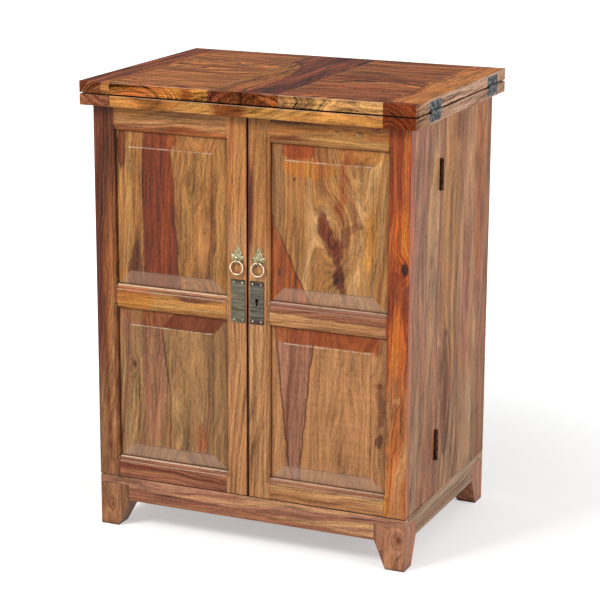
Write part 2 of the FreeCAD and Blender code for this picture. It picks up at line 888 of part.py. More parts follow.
def keyhole_tools(name, ys):
    x, _ = plate_centre(1)
    z = door_bottom + size.keyhole_level
    half = size.keyhole_slot_width / 2
    return [
        cylinder(f"{name}_round", (x, ys[0], z), "Y", size.keyhole_radius, ys[1] - ys[0]),
        box(f"{name}_slot", (x - half, x + half), ys, (z - size.keyhole_slot_length, z)),
    ]


def build_plate(side, prefix):
    x, z = plate_centre(side)
    half_width = size.plate_width / 2
    half_height = size.plate_height / 2
    body = new_body("iron_plate")
    outline = new_sketch(body, "plate_outline", "XZ_Plane")
    draw_outline(outline, [
        (-half_width, -half_height, 0), (half_width, -half_height, 0),
        (half_width, half_height, 0), (-half_width, half_height, 0),
    ])
    for right in (-1, 1):
        for up in (-1, 1):
            draw_circle(outline, size.nail_spread / 2 * right, size.nail_rise / 2 * up,
                        size.nail_radius + size.screw_clearance)
    pad(body, outline, "plate_sheet", size.plate_thickness)
    if side > 0:
        keyhole = new_sketch(body, "keyhole_outline", "XZ_Plane")
        level = size.keyhole_level - size.plate_level
        slot = size.keyhole_slot_width / 2
        rise = (size.keyhole_radius * size.keyhole_radius - slot * slot)
        shoulder = Formula(f"sqrt({rise.text})", math.sqrt(rise.value))
        low = level - size.keyhole_slot_length
        share = (size.keyhole_radius.value + shoulder.value) / slot.value
        draw_outline(keyhole, [
            (-slot, low, 0), (slot, low, 0),
            (slot, level - shoulder, share), (-slot, level - shoulder, 0),
        ])
        pocket = body.newObject("PartDesign::Pocket", "keyhole")
        pocket.Profile = keyhole
        pocket.Reversed = True
        bind(pocket, "Length", size.plate_thickness)
    place(body, x, front, z)
    piece(f"{prefix}_plate", body)

    nails = []
    for nail_x, nail_z in nail_places(side):
        head_base = front - size.plate_thickness
        rim = cone("nail_head", (nail_x, head_base - size.nail_head_height, nail_z), "Y",
                   size.nail_head_radius / 2, size.nail_head_radius, size.nail_head_height)
        shank = cylinder("nail_shank", (nail_x, head_base, nail_z), "Y", size.nail_radius,
                         size.plate_thickness + size.nail_length)
        nails.append(fuse("nail", [rim, shank]))
    piece(f"{prefix}_plate_nails", group("plate_nails", nails))


# Lock: a case let into the right inner stile, and a bolt that shoots into the left one.

lock_y = (front + size.lock_cover, front + size.lock_cover + size.lock_thickness)
lock_middle_y = (lock_y[0] + lock_y[1]) / 2
bolt_level = door_bottom + size.keyhole_level + size.lock_bolt_rise
bolt_tip = size.door_gap / 2 + size.lock_bolt_setback


def lock_case_spans():
    low_x = size.door_gap / 2
    centre_z = door_bottom + size.plate_level
    half = size.lock_height / 2
    return (low_x, low_x + size.lock_width), lock_y, (centre_z - half, centre_z + half)


def bolt_spans(clearance):
    half_y = size.lock_bolt_thickness / 2 + clearance
    half_z = size.lock_bolt_height / 2 + clearance
    return ((lock_middle_y - half_y, lock_middle_y + half_y),
            (bolt_level - half_z, bolt_level + half_z))


def lock_holes(side):
    """The mortise and keyhole in the right stile, or the socket for the bolt in the left one."""
    if side > 0:
        keyway = keyhole_tools("stile_keyhole", (front, lock_y[0]))
        return [box("lock_mortise", *lock_case_spans())] + keyway
    ys, zs = bolt_spans(size.bolt_clearance * 2)
    edge = size.door_gap / 2
    return [box("bolt_socket", (-edge - size.lock_bolt_throw, -edge), ys, zs)]


def build_lock():
    case = box("lock_case_blank", *lock_case_spans())
    ys, zs = bolt_spans(size.bolt_clearance)
    tail = bolt_tip + size.lock_bolt_length
    channel = box("bolt_channel", (size.door_gap / 2, tail + size.bolt_clearance), ys, zs)
    keyway = keyhole_tools("case_keyhole", (lock_y[0], lock_y[0] + size.lock_keyway_depth))
    piece("lock_case", cut("lock_case", case, [channel] + keyway))
    piece("lock_bolt", box("lock_bolt", (bolt_tip, tail), *bolt_spans(middle)))


# Tower bolt inside the left door: a rod in two guides, lifted into the lower top by its knob.

tower_x = -(size.door_gap / 2 + size.inner_side_thickness + size.tower_offset)
tower_y = door_rear - size.tower_inset
tower_top = door_top - size.tower_setback


def build_tower_bolt():
    rod_low = tower_top - size.tower_length
    guide_low = rod_low + size.guide_height
    wall = -(size.door_gap / 2 + size.inner_side_thickness)
    half = size.guide_size / 2
    guides = []
    for low in (guide_low, guide_low + size.guide_spacing):
        block = box("guide_block", (tower_x - half, wall), (tower_y - half, tower_y + half),
                    (low, low + size.guide_height))
        bore = cylinder("guide_bore", (tower_x, tower_y, low), "Z",
                        size.tower_radius + size.bolt_clearance, size.guide_height)
        guides.append(cut("guide", block, [bore]))
    piece("tower_bolt_guides", group("tower_bolt_guides", guides))
    rod = cylinder("tower_rod", (tower_x, tower_y, rod_low), "Z", size.tower_radius, size.tower_length)
    knob_level = guide_low + size.guide_height + size.bolt_clearance + size.knob_radius
    knob = cylinder("tower_knob", (tower_x, tower_y, knob_level), "Y", size.knob_radius,
                    size.tower_radius + size.knob_length)
    piece("tower_bolt", fuse("tower_bolt", [rod, knob]))


# Hinges in their places, then everything round them.


def build_pins(places):
    pins = []
    for hinge, (x, y, z), axis in places:
        half = hinge.length / 2
        start = (x, y - half, z) if axis == "Y" else (x, y, z - half)
        pins.append(cylinder("hinge_pin", start, axis, hinge.pin, hinge.length))
    piece("hinge_pins", group("hinge_pins", pins))


def build_cabinet():
    carcass_leaves = []
    carcass_screws = []
    carcass_seats = {-1: [], 1: []}
    door_seats = {-1: [], 1: []}
    pins = []
    axis_x = side_face + size.door_pin_offset
    levels = (door_bottom + size.door_hinge_low, door_top - size.door_hinge_high)
    for side, prefix in ((-1, "left_door"), (1, "right_door")):
        inward = "-X" if side > 0 else "+X"
        leaves = []
        screws = []
        for level in levels:
            start = (axis_x * side, joint, level)
            leaf, seat, fixings = mount_leaf("fixed_leaf", door_hinge, FIXED_KNUCKLES, start,
                                             inward, "+Y")
            carcass_leaves.append(leaf)
            carcass_screws += fixings
            carcass_seats[side].append(seat)
            leaf, seat, fixings = mount_leaf("door_leaf", door_hinge, MOVING_KNUCKLES, start,
                                             inward, "-Y")
            leaves.append(leaf)
            screws += fixings
            door_seats[side].append(seat)
            pins.append((door_hinge, start, "Z"))
        piece(f"{prefix}_hinge_leaves", group("door_hinge_leaves", leaves))
        piece(f"{prefix}_hinge_screws", group("door_hinge_screws", screws))

    lower_leaves = []
    lower_seats = []
    upper_leaves = []
    upper_screws = []
    upper_seats = []
    fold_x = top_end + size.leaf_pin_offset
    fold_z = lower_top_face + size.leaf_gap / 2
    for y in (top_depth[0] + size.leaf_hinge_front, top_depth[1] - size.leaf_hinge_rear):
        start = (fold_x, y, fold_z)
        leaf, seat, fixings = mount_leaf("lower_leaf", leaf_hinge, FIXED_KNUCKLES, start, "-Z", "-X")
        lower_leaves.append(leaf)
        lower_seats.append(seat)
        carcass_screws += fixings
        leaf, seat, fixings = mount_leaf("upper_leaf", leaf_hinge, MOVING_KNUCKLES, start, "+Z", "-X")
        upper_leaves.append(leaf)
        upper_seats.append(seat)
        upper_screws += fixings
        pins.append((leaf_hinge, start, "Y"))
    piece("carcass_hinge_leaves", group("carcass_hinge_leaves", carcass_leaves))
    piece("carcass_hinge_screws", group("carcass_hinge_screws", carcass_screws))
    piece("leaf_hinge_lower_leaves", group("leaf_hinge_lower_leaves", lower_leaves))
    piece("leaf_hinge_upper_leaves", group("leaf_hinge_upper_leaves", upper_leaves))
    piece("leaf_hinge_upper_screws", group("leaf_hinge_upper_screws", upper_screws))
    build_pins(pins)

    build_base()
    build_carcass(carcass_seats)
    build_lower_top(lower_seats)
    build_leaf(upper_seats)
    build_door(-1, "left_door", door_seats[-1])
    build_door(1, "right_door", door_seats[1])
    build_lock()
    build_tower_bolt()


def check_and_export():
    doc.recompute()
    for item in doc.Objects:
        if "Invalid" in item.State or "Error" in item.State:
            raise RuntimeError(f"{item.Name} ({item.Label}) failed: {item.State}")
    os.makedirs("parts", exist_ok=True)
    for item in pieces:
        if item.Shape.isNull() or not item.Shape.isValid() or not item.Shape.Solids:
            raise RuntimeError(f"{item.Label} has no valid solid")
    for item in pieces:
        item.Shape.exportStep(f"parts/{item.Label}.step")
        print(f"{item.Label}: {len(item.Shape.Solids)} solids, {item.Shape.Volume / 1000:.1f} cm3")
    print(len(pieces), "pieces")


build_cabinet()
check_and_export()
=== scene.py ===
import math

import bmesh
import bpy
from mathutils import Matrix, Vector, noise


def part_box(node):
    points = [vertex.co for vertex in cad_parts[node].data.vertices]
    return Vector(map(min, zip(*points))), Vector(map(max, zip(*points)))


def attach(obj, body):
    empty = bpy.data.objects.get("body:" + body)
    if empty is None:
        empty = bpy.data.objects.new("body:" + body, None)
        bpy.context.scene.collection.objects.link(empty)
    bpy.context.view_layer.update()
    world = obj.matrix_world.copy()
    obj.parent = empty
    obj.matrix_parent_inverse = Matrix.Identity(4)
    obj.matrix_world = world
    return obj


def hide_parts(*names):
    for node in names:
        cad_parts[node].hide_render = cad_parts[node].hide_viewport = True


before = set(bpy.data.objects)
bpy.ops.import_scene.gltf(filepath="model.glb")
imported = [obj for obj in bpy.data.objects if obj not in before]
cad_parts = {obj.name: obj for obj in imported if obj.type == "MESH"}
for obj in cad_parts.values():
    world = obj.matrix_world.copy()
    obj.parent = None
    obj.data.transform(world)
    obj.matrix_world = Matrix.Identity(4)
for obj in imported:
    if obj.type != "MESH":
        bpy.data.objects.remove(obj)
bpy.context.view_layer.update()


class Value:
    """The outlet of a node, which adds and multiplies as a number does."""

    def __init__(self, graph, socket):
        self.graph = graph
        self.socket = socket

    def __add__(self, other):
        return self.graph.math("ADD", self, other)

    def __sub__(self, other):
        return self.graph.math("SUBTRACT", self, other)

    def __rsub__(self, other):
        return self.graph.math("SUBTRACT", other, self)

    def __mul__(self, other):
        return self.graph.math("MULTIPLY", self, other)

    def __truediv__(self, other):
        return self.graph.math("DIVIDE", self, other)

    __radd__ = __add__


class Graph:
    """Adds nodes to one tree. An input may be a number, a colour or the value of another node."""

    def __init__(self, tree):
        self.tree = tree

    def add(self, kind, values=(), **settings):
        node = self.tree.nodes.new(kind)
        for name, value in settings.items():
            setattr(node, name, value)
        for name, value in dict(values).items():
            self.feed(node.inputs[name], value)
        return node

    def feed(self, socket, value):
        if isinstance(value, Value):
            self.tree.links.new(value.socket, socket)
        else:
            socket.default_value = value

    def outlet(self, kind, values=(), key=0, **settings):
        """One outlet of a new node."""
        return Value(self, self.add(kind, values, **settings).outputs[key])

    def outlets(self, kind, values=(), **settings):
        """All named outlets of a new node."""
        node = self.add(kind, values, **settings)
        return {socket.name: Value(self, socket) for socket in node.outputs if socket.name}

    def math(self, operation, *values):
        return self.outlet("ShaderNodeMath", dict(enumerate(values)), operation=operation)

    def away(self, x, y):
        """The distance of a point from the origin of a plane."""
        return self.math("SQRT", x * x + y * y)

    def bell(self, value):
        """1 at nought, and falling off smoothly on both sides."""
        return self.math("EXPONENT", value * value * -1)

    def rise(self, value, low, high):
        """0 below low, 1 above high, and a soft step between."""
        return self.outlet("ShaderNodeMapRange", {0: value, 1: low, 2: high},
                           interpolation_type="SMOOTHSTEP")

    def window(self, value, low, full, falling, gone):
        """A soft step up from low to full, and another down from falling to gone."""
        return self.rise(value, low, full) * (1 - self.rise(value, falling, gone))

    def split(self, vector):
        return list(self.outlets("ShaderNodeSeparateXYZ", {0: vector}).values())

    def join(self, x, y, z):
        return self.outlet("ShaderNodeCombineXYZ", {0: x, 1: y, 2: z})

    def stretch(self, vector, scale):
        return self.outlet("ShaderNodeVectorMath", {0: vector, 1: scale}, operation="MULTIPLY")

    def shift(self, vector, offset):
        return self.outlet("ShaderNodeVectorMath", {0: vector, 1: offset}, operation="ADD")

    def place(self):
        """The shaded point of the object, in metres."""
        return self.outlet("ShaderNodeTexCoord", key="Object")

    def noise(self, vector, scale=(1, 1, 1), detail=2.0, roughness=0.5, key=0):
        """Soft noise that gets finer along each axis as its scale grows."""
        vector = self.stretch(vector, scale)
        inputs = {"Vector": vector, "Scale": 1.0, "Detail": detail, "Roughness": roughness}
        return self.outlet("ShaderNodeTexNoise", inputs, key)

    def mix(self, factor, a, b, blend="MIX"):
        return self.outlet("ShaderNodeMix", {0: factor, 6: a, 7: b}, 2, data_type="RGBA", blend_type=blend)

    def dim(self, colour, level):
        """A colour times a level of light."""
        return self.mix(1.0, colour, self.join(level, level, level), "MULTIPLY")

    def leave(self, **values):
        """The outputs of a group. The one named Colour is a colour and the others are numbers."""
        for name in values:
            kind = "NodeSocketColor" if name == "Colour" else "NodeSocketFloat"
            self.tree.interface.new_socket(name=name, in_out="OUTPUT", socket_type=kind)
        self.add("NodeGroupOutput", values)
        return self.tree

    def bump(self, shader, height, strength, distance):
        inputs = {"Strength": strength, "Distance": distance, "Height": height}
        self.feed(shader.inputs["Normal"], self.outlet("ShaderNodeBump", inputs))


def tone(red, green, blue):
    """A colour given as seen on a screen, 0 to 255, as linear light."""
    def linear(value):
        value /= 255
        return value / 12.92 if value <= 0.04045 else ((value + 0.055) / 1.055) ** 2.4
    return (linear(red), linear(green), linear(blue), 1.0)


SAP = tone(200, 152, 100)
TAN = tone(180, 126, 80)
HONEY = tone(190, 130, 66)
GOLD = tone(200, 132, 50)
STRAW = tone(186, 140, 82)
OLIVE = tone(146, 108, 68)
BROWN = tone(146, 94, 58)
ROSE = tone(152, 94, 68)
PINK = tone(172, 118, 92)
AMBER = tone(164, 88, 40)
FLAME = tone(184, 88, 34)
RUSSET = tone(130, 54, 26)
CHESTNUT = tone(108, 54, 32)
UMBER = tone(82, 40, 24)
EBONY = tone(48, 24, 15)
MAROON = tone(104, 46, 30)
PLUM = tone(112, 62, 48)
DUSTY = tone(184, 132, 92)
DUSK = tone(150, 102, 70)
ASH = tone(160, 130, 100)
CARAMEL = tone(164, 112, 60)
# A pale mauve tan: the colour of some boards, and of the painted reflection of the floor on slopes that face
# down.
PALE_MAUVE = tone(186, 152, 130)
WHITE = (1.0, 1.0, 1.0, 1.0)
# The pale colour of the painted highlights on moulding crests, arrises and the top edge of a raised field.
PAINTED_HIGHLIGHT = tone(232, 206, 180)
STAIN = tone(58, 40, 42)

# A half length or width that runs past the ends of any board.
ENDLESS = 9.0
# How far stains, painted shade in creases, rims of patches and the painted lines round a raised field reach,
# in metres.
STAIN_REACH = 0.005
SHADE_REACH = 0.012
RIM_REACH = 0.002
LINE_REACH = 0.0009
LINE_INSET = 0.0006


def node_group(name, inputs):
    """A new node group, what it is given, and its place as metres across, through and along the board.
    The default of an input tells its kind."""
    tree = bpy.data.node_groups.new(name, "ShaderNodeTree")
    kinds = {1: "NodeSocketFloat", 3: "NodeSocketVector", 4: "NodeSocketColor"}
    for title, default in dict(inputs, Place=(0, 0, 0)).items():
        size = len(default) if isinstance(default, tuple) else 1
        socket = tree.interface.new_socket(name=title, in_out="INPUT", socket_type=kinds[size])
        socket.default_value = default
    graph = Graph(tree)
    given = graph.outlets("NodeGroupInput")
    return graph, given, graph.split(given["Place"])


def knot_group():
    """A knot pushes the growth rings outwards round it and is dark at its heart."""
    graph, given, (across, _, along) = node_group(
        "knot", {"Across": 0.0, "Along": 0.0, "Size": 0.02, "Lift": 0.02, "Core": 0.8, "Lifted": 0.0,
                 "Cored": 0.0})
    reach = graph.away(across - given["Across"], (along - given["Along"]) * 0.55) / given["Size"]
    core = (1 - graph.rise(reach, 0.12, 0.5)) * given["Core"]
    return graph.leave(Lifted=given["Lifted"] + graph.bell(reach) * given["Lift"],
                       Cored=graph.math("MAXIMUM", given["Cored"], core))


def figure_group():
    """Solid figured hardwood. Growth rings run round a pith beside the board and wander a little."""
    graph, given, (across, depth, along) = node_group(
        "figured_wood",
        {"Seed": 0.0, "Light": SAP, "Middle": TAN, "Dark": BROWN, "Streak": UMBER, "Pith Across": 0.05,
         "Pith Depth": 0.06, "Tilt": 0.05, "Rings": 70.0, "Warp": 0.025, "Contrast": 2.2,
         "Streaks": 0.6, "Lifted": 0.0, "Cored": 0.0})
    step = graph.join(*[given["Seed"] * stride for stride in (3.17, 5.71, 7.93)])
    seeded = graph.shift(given["Place"], step)
    seeded_across, _, seeded_along = graph.split(seeded)

    broad = graph.split(graph.noise(seeded, (7, 7, 2.2), key="Color"))
    fine = graph.split(graph.noise(seeded, (40, 40, 12), key="Color"))
    across, depth = [value + (wide - 0.5) * given["Warp"] * 2 + (narrow - 0.5) * 0.008
                     for value, wide, narrow in zip((across, depth), broad, fine)]
    ring_x = across - given["Pith Across"] - along * given["Tilt"]
    ring_y = depth - given["Pith Depth"]
    count = (graph.away(ring_x, ring_y) + given["Lifted"]) * given["Rings"]

    band = graph.noise(graph.join(count, seeded_across * 3, seeded_along * 0.9), detail=6.0, roughness=0.62)
    band = (band - 0.5) * given["Contrast"] + 0.5
    colour = graph.mix(graph.rise(band, 0.1, 0.5), given["Dark"], given["Middle"])
    colour = graph.mix(graph.rise(band, 0.46, 0.86), colour, given["Light"])

    vein = graph.noise(graph.join(count * 2.6, seeded_across * 5, seeded_along * 1.3), detail=4.0,
                       roughness=0.7)
    colour = graph.mix(graph.rise(vein, 0.52, 0.62) * given["Streaks"], colour, given["Streak"])
    colour = graph.mix(given["Cored"], colour, given["Streak"])
    return graph.leave(Colour=colour, Band=band, Count=count)


def patch_group():
    """A tongue of heartwood in a board, with a wobbling edge that may be drawn as a dark line."""
    graph, given, (across, _, along) = node_group(
        "heartwood",
        {"Colour": TAN, "Band": 0.5, "Across": 0.0, "Along": 0.0, "Half": 0.02, "Length": ENDLESS,
         "Taper": 0.0, "Lean": 0.0, "Soft": 0.004, "Wobble": 0.02, "Strength": 0.9, "Square": 2.0,
         "Light": AMBER, "Dark": RUSSET, "Rim": 0.0, "Seed": 0.0})
    along = along - given["Along"]
    wobble = graph.noise(graph.join((along + given["Seed"]) * 22, across * 8, 0.0), detail=3.0)
    middle = given["Across"] + along * given["Lean"] + (wobble - 0.5) * given["Wobble"]
    half = graph.math("MAXIMUM", given["Half"] + along * given["Taper"], 0.0002)
    side = graph.math("ABSOLUTE", (across - middle) / half)
    end = graph.math("ABSOLUTE", along / given["Length"])
    square = given["Square"]
    reach = graph.math("POWER", side, square) + graph.math("POWER", end, square)
    reach = graph.math("POWER", reach, graph.math("DIVIDE", 1.0, square))
    past = (reach - 1) * half
    inside = 1 - graph.rise(past, given["Soft"] * -1, given["Soft"])
    fill = graph.mix(graph.rise(given["Band"], 0.15, 0.85), given["Dark"], given["Light"])
    colour = graph.mix(inside * given["Strength"], given["Colour"], fill)
    rim = graph.bell(past / RIM_REACH) * given["Rim"]
    return graph.leave(Colour=graph.mix(rim, colour, UMBER))


def grain_group():
    """The fine layer of wood: flecks that follow the rings, fibres, open pores and soft clouds."""
    graph, given, (across, depth, along) = node_group(
        "grain", {"Colour": TAN, "Count": 0.0, "Seed": 0.0, "Flecks": 1.0})
    across = across + given["Seed"] * 2.3
    along = along + given["Seed"] * 4.1
    seeded = graph.join(across, depth, along)
    fleck = graph.noise(graph.join(given["Count"] * 3.6, across * 26, along * 7), detail=4.0, roughness=0.7)
    fibre = graph.noise(seeded, (420, 420, 12), 3.0, 0.65)
    thread = graph.noise(seeded, (170, 170, 7), 3.0, 0.6)
    mottle = graph.noise(seeded, (420, 420, 190))
    tick = graph.rise(graph.noise(seeded, (260, 260, 55), 1.0), 0.6, 0.72)
    cloud = graph.noise(seeded, (14, 14, 4))
    pore = graph.rise(graph.noise(seeded, (1100, 1100, 40), 1.0), 0.58, 0.7)
    flecks = given["Flecks"]
    level = (1 + (fleck - 0.52) * 2.4 * flecks + (fibre - 0.5) * flecks + (thread - 0.5) * 0.9 * flecks
             + (mottle - 0.47) * 0.8 * flecks + tick * -0.18 + (cloud - 0.5) * 0.7)
    return graph.leave(Colour=graph.dim(given["Colour"], level * (1 - pore * 0.2)),
                       Sheen=0.28 + fibre * 0.18 + pore * 0.2, Height=fibre * 0.5 - pore)


def painted_light_group():
    """Painted light and shade laid over the wood: ripples of light across the grain, painted shade on level
    faces, painted highlights on the crests of mouldings with painted shade just above them, russet painted
    shade on slopes that face up and a pale painted reflection of the floor on those that face down,
    painted shade in creases, and round a raised field a painted highlight along its top and painted shade
    elsewhere."""
    graph, given, (across, _, along) = node_group(
        "finish",
        {"Colour": TAN, "Seed": 0.0, "Tint": WHITE, "Ripple": 0.0, "Bloom": 0.0, "Crest": 0.0,
         "Field Across": ENDLESS, "Field Along": ENDLESS, "Edge": 0.0})
    wave = graph.noise(graph.join(across * 9, given["Seed"], along * 150))
    colour = graph.dim(given["Colour"], 1 + (wave - 0.5) * given["Ripple"])

    facing_up = graph.split(graph.outlet("ShaderNodeTexCoord", key="Normal"))[2]
    # Painted shade: faces that look straight up, such as the tops, are darkened and warmed by the tint.
    tinted = graph.mix(1.0, colour, given["Tint"], "MULTIPLY")
    colour = graph.mix(graph.rise(facing_up, 0.7, 0.95), colour, tinted)
    # Painted shade: slopes that face up, such as the upper bevels of a panel, turn russet.
    upward = graph.window(facing_up, 0.08, 0.2, 0.3, 0.4)
    colour = graph.mix(upward * given["Bloom"] * 0.55, colour, RUSSET)
    # Painted highlight: a patchy pale line on the crest of a moulding and on rounded arrises.
    crest = graph.window(facing_up, 0.42, 0.54, 0.72, 0.82)
    broken = graph.rise(graph.noise(given["Place"], (70, 70, 70)), 0.1, 0.5)
    colour = graph.mix(crest * broken * given["Crest"], colour, PAINTED_HIGHLIGHT)
    # Painted shade: a dark line on the flatter part of a moulding just above its crest.
    above = graph.window(facing_up, 0.8, 0.87, 0.94, 0.98)
    colour = graph.mix(above * given["Crest"], colour, CHESTNUT)
    # Painted reflection: slopes that face down, such as the lower bevels of a panel, turn pale as if they
    # mirrored the floor.
    downward = graph.rise(facing_up * -1, 0.08, 0.2)
    colour = graph.mix(downward * given["Bloom"], colour, PALE_MAUVE)

    # Round a raised field: a painted highlight line along its top edge and a painted shade line along its
    # other edges, broken into patches by noise.
    past_side = graph.math("ABSOLUTE", across) - given["Field Across"]
    past_end = graph.math("ABSOLUTE", along) - given["Field Along"]
    past = (graph.math("MAXIMUM", past_side, past_end) + LINE_INSET) / LINE_REACH
    worn = graph.rise(graph.noise(given["Place"], (60, 60, 60)), 0.3, 0.6)
    line = graph.bell(past) * given["Edge"] * worn
    on_top = graph.rise(along, 0.0, 0.02) * graph.rise(past_end - past_side, -0.002, 0.002)
    colour = graph.mix(line * on_top, colour, PAINTED_HIGHLIGHT)
    colour = graph.mix(line * (1 - on_top) * 0.35, colour, UMBER)

    # Painted shade: ambient occlusion darkens corners, creases and the gaps between parts.
    crease = graph.outlet("ShaderNodeAmbientOcclusion", {"Distance": SHADE_REACH}, "AO", samples=8)
    return graph.leave(Colour=graph.dim(colour, 0.2 + graph.rise(crease, 0.3, 0.98) * 0.8))


KNOT = knot_group()
FIGURE = figure_group()
PATCH = patch_group()
GRAIN = grain_group()
PAINTED_LIGHT = painted_light_group()


def new_material(name, shader="ShaderNodeBsdfPrincipled"):
    material = bpy.data.materials.new(name)
    material.use_nodes = True
    material.node_tree.nodes.clear()
    graph = Graph(material.node_tree)
    shader = graph.add(shader)
    graph.add("ShaderNodeOutputMaterial", {"Surface": Value(graph, shader.outputs[0])})
    return material, graph, shader


def wood(name, axes, centre, seed, gloss=0.14, coat=0.05, flecks=1.0, knots=(), patches=(),
         finish=None, **figure):
    """One board's own wood, with painted light and shade laid over it. axes names the object axes that run
    across, through and along it.
    """
    material, graph, shader = new_material(name)

    def use(tree, **values):
        inputs = {key.replace("_", " ").title(): value for key, value in values.items()}
        return graph.outlets("ShaderNodeGroup", inputs, node_tree=tree)

    moved = graph.split(graph.shift(graph.place(), tuple(-value for value in centre)))
    place = graph.join(*[moved["XYZ".index(axis)] for axis in axes])
    lifted, cored = 0.0, 0.0
    for mark in knots:
        lifted, cored = use(KNOT, place=place, lifted=lifted, cored=cored, **mark).values()
    base = use(FIGURE, place=place, seed=seed, lifted=lifted, cored=cored, **figure)
    colour = base["Colour"]
    for number, patch in enumerate(patches):
        colour = use(PATCH, colour=colour, place=place, band=base["Band"],
                     seed=seed + 0.37 * number, **patch)["Colour"]
    grain = use(GRAIN, colour=colour, place=place, count=base["Count"], seed=seed, flecks=flecks)
    done = use(PAINTED_LIGHT, colour=grain["Colour"], place=place, seed=seed, **(finish or {}))
    graph.feed(shader.inputs["Base Color"], done["Colour"])
    graph.feed(shader.inputs["Roughness"], grain["Sheen"])
    shader.inputs["Specular IOR Level"].default_value = gloss
    shader.inputs["Coat Weight"].default_value = coat
    shader.inputs["Coat Roughness"].default_value = 0.2
    graph.bump(shader, grain["Height"], strength=0.2, distance=0.0004)
    return material


def metal(name, colour, worn, roughness, grain, share=0.5, rows=()):
    """Cast or rolled metal: a patina colour that is worn brighter in patches. Each of the rows is a
    height round which the metal has stained darker."""
    material, graph, shader = new_material(name)
    position = graph.place()
    patch = graph.noise(position, grain, 5.0, 0.65)
    speck = graph.noise(position, (900, 900, 900))
    base = graph.mix(graph.rise(patch, share - 0.14, share + 0.16), colour, worn)
    height = graph.split(position)[2]
    for row in rows:
        base = graph.mix(graph.bell((height - row) / STAIN_REACH) * 0.75, base, STAIN)
    graph.feed(shader.inputs["Base Color"], graph.dim(base, 0.75 + speck * 0.5))
    graph.feed(shader.inputs["Roughness"], roughness + speck * 0.22)
    shader.inputs["Metallic"].default_value = 1.0
    graph.bump(shader, patch + speck * 0.3, strength=0.5, distance=0.0003)
    return material


def felt():
    material, graph, shader = new_material("felt")
    fluff = graph.noise(graph.place(), (1500, 1500, 1500), 3.0, 0.7)
    graph.feed(shader.inputs["Base Color"], graph.mix(fluff, tone(38, 52, 34), tone(84, 98, 74)))
    shader.inputs["Roughness"].default_value = 0.95
    graph.bump(shader, fluff, strength=0.6, distance=0.0005)
    return material


# Dressing the CAD nodes: softened arrises and a material for every board. Angles are in degrees.

FLAT = 1
SHALLOW_CREASE = 8
STEEP_CREASE = 25
ARRIS_CREASE = 32
SAME_POINT = 1e-6
BOARD_ARRIS = 0.0009
PLATE_ARRIS = 0.0003


def crease_group(limit):
    """Keeps each edge sharper than the limit as a crease, so that mitres and bevels read as planes."""
    tree = bpy.data.node_groups.new(f"crease_over_{limit}", "GeometryNodeTree")
    for way in ("INPUT", "OUTPUT"):
        tree.interface.new_socket(name="Geometry", in_out=way, socket_type="NodeSocketGeometry")
    graph = Graph(tree)
    shape = graph.outlet("NodeGroupInput")
    turn = graph.outlet("GeometryNodeInputMeshEdgeAngle")
    sharp = graph.outlet("FunctionNodeCompare", {0: turn, 1: math.radians(limit)}, operation="GREATER_THAN")
    creased = graph.outlet("GeometryNodeSetShadeSmooth", {
        "Geometry": shape, "Selection": sharp, "Shade Smooth": False}, domain="EDGE")
    graph.add("NodeGroupOutput", {0: creased})
    return tree


CREASES = {limit: crease_group(limit) for limit in (SHALLOW_CREASE, STEEP_CREASE)}
ROUND_CUTS = ("bottle_rack_rails", "stemware_rack")


def soften(node, width, limit=STEEP_CREASE):
    """Rounds every arris of a CAD node a little, as sanding does. The mesh itself stays."""
    weld = node.modifiers.new("weld", "WELD")
    weld.merge_threshold = SAME_POINT
    flatten = node.modifiers.new("flatten", "DECIMATE")
    flatten.decimate_type = "DISSOLVE"
    flatten.angle_limit = math.radians(FLAT)
    crease = node.modifiers.new("creases", "NODES")
    crease.node_group = CREASES[limit]
    bevel = node.modifiers.new("arris", "BEVEL")
    bevel.width = width
    bevel.segments = 2
    bevel.limit_method = "ANGLE"
    bevel.angle_limit = math.radians(ARRIS_CREASE)
    bevel.harden_normals = False
    smooth(node)
    node.modifiers.new("normals", "WEIGHTED_NORMAL").keep_sharp = True


def smooth(thing):
    mesh = thing.data
    mesh.polygons.foreach_set("use_smooth", [True] * len(mesh.polygons))


def spans(node, test):
    """The box of the faces of a node whose middle passes the test."""
    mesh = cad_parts[node].data
    points = [mesh.vertices[index].co for face in mesh.polygons if test(face.center)
              for index in face.vertices]
    low = Vector([min(point[axis] for point in points) for axis in range(3)])
    high = Vector([max(point[axis] for point in points) for axis in range(3)])
    return low, high


def dress(node, *boards):
    """Gives each board of a node its own wood. A board is (name, test, axes, look)."""
    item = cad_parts[node]
    item.data.materials.clear()
    for number, (name, test, axes, look) in enumerate(boards):
        low, high = spans(node, test)
        item.data.materials.append(wood(name, axes, (low + high) / 2, **look))
        for face in item.data.polygons:
            if test(face.center):
                face.material_index = number
    soften(item, BOARD_ARRIS, STEEP_CREASE if node in ROUND_CUTS else SHALLOW_CREASE)


def coat_with(material, *nodes, arris=0.0):
    """Gives whole nodes one material, and softens their arrises where a width is given."""
    for name in nodes:
        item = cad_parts[name]
        item.data.materials.clear()
        item.data.materials.append(material)
        if arris:
            soften(item, arris)


def anywhere(point):
    return True


def on_left(point):
    return point.x < 0


def on_right(point):
    return point.x >= 0


def low_down(point):
    return point.z < MIDDLE_RAIL


def high_up(point):
    return point.z >= MIDDLE_RAIL


# The looks of the boards. Across and along are metres from a board's middle.

MIDDLE_RAIL = sum(corner.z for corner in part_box("left_door_middle_rail")) / 2


def timber(seed, light, middle, dark, streak, base=None, **more):
    """One board's look: its seed and its four colours, on top of what its kind of board shares."""
    return dict(base or {}, seed=seed, light=light, middle=middle, dark=dark, streak=streak, **more)


def knot(across, along, size, lift, **more):
    """A knot of this size, which pushes the growth rings out by the lift."""
    return dict(across=across, along=along, size=size, lift=lift, **more)


def tongue(across, along, half, length, light, dark, strength=0.9, **more):
    """A tongue of other wood: its middle, half its width, half its length and its two colours."""
    return dict(across=across, along=along, half=half, length=length, light=light, dark=dark,
                strength=strength, **more)
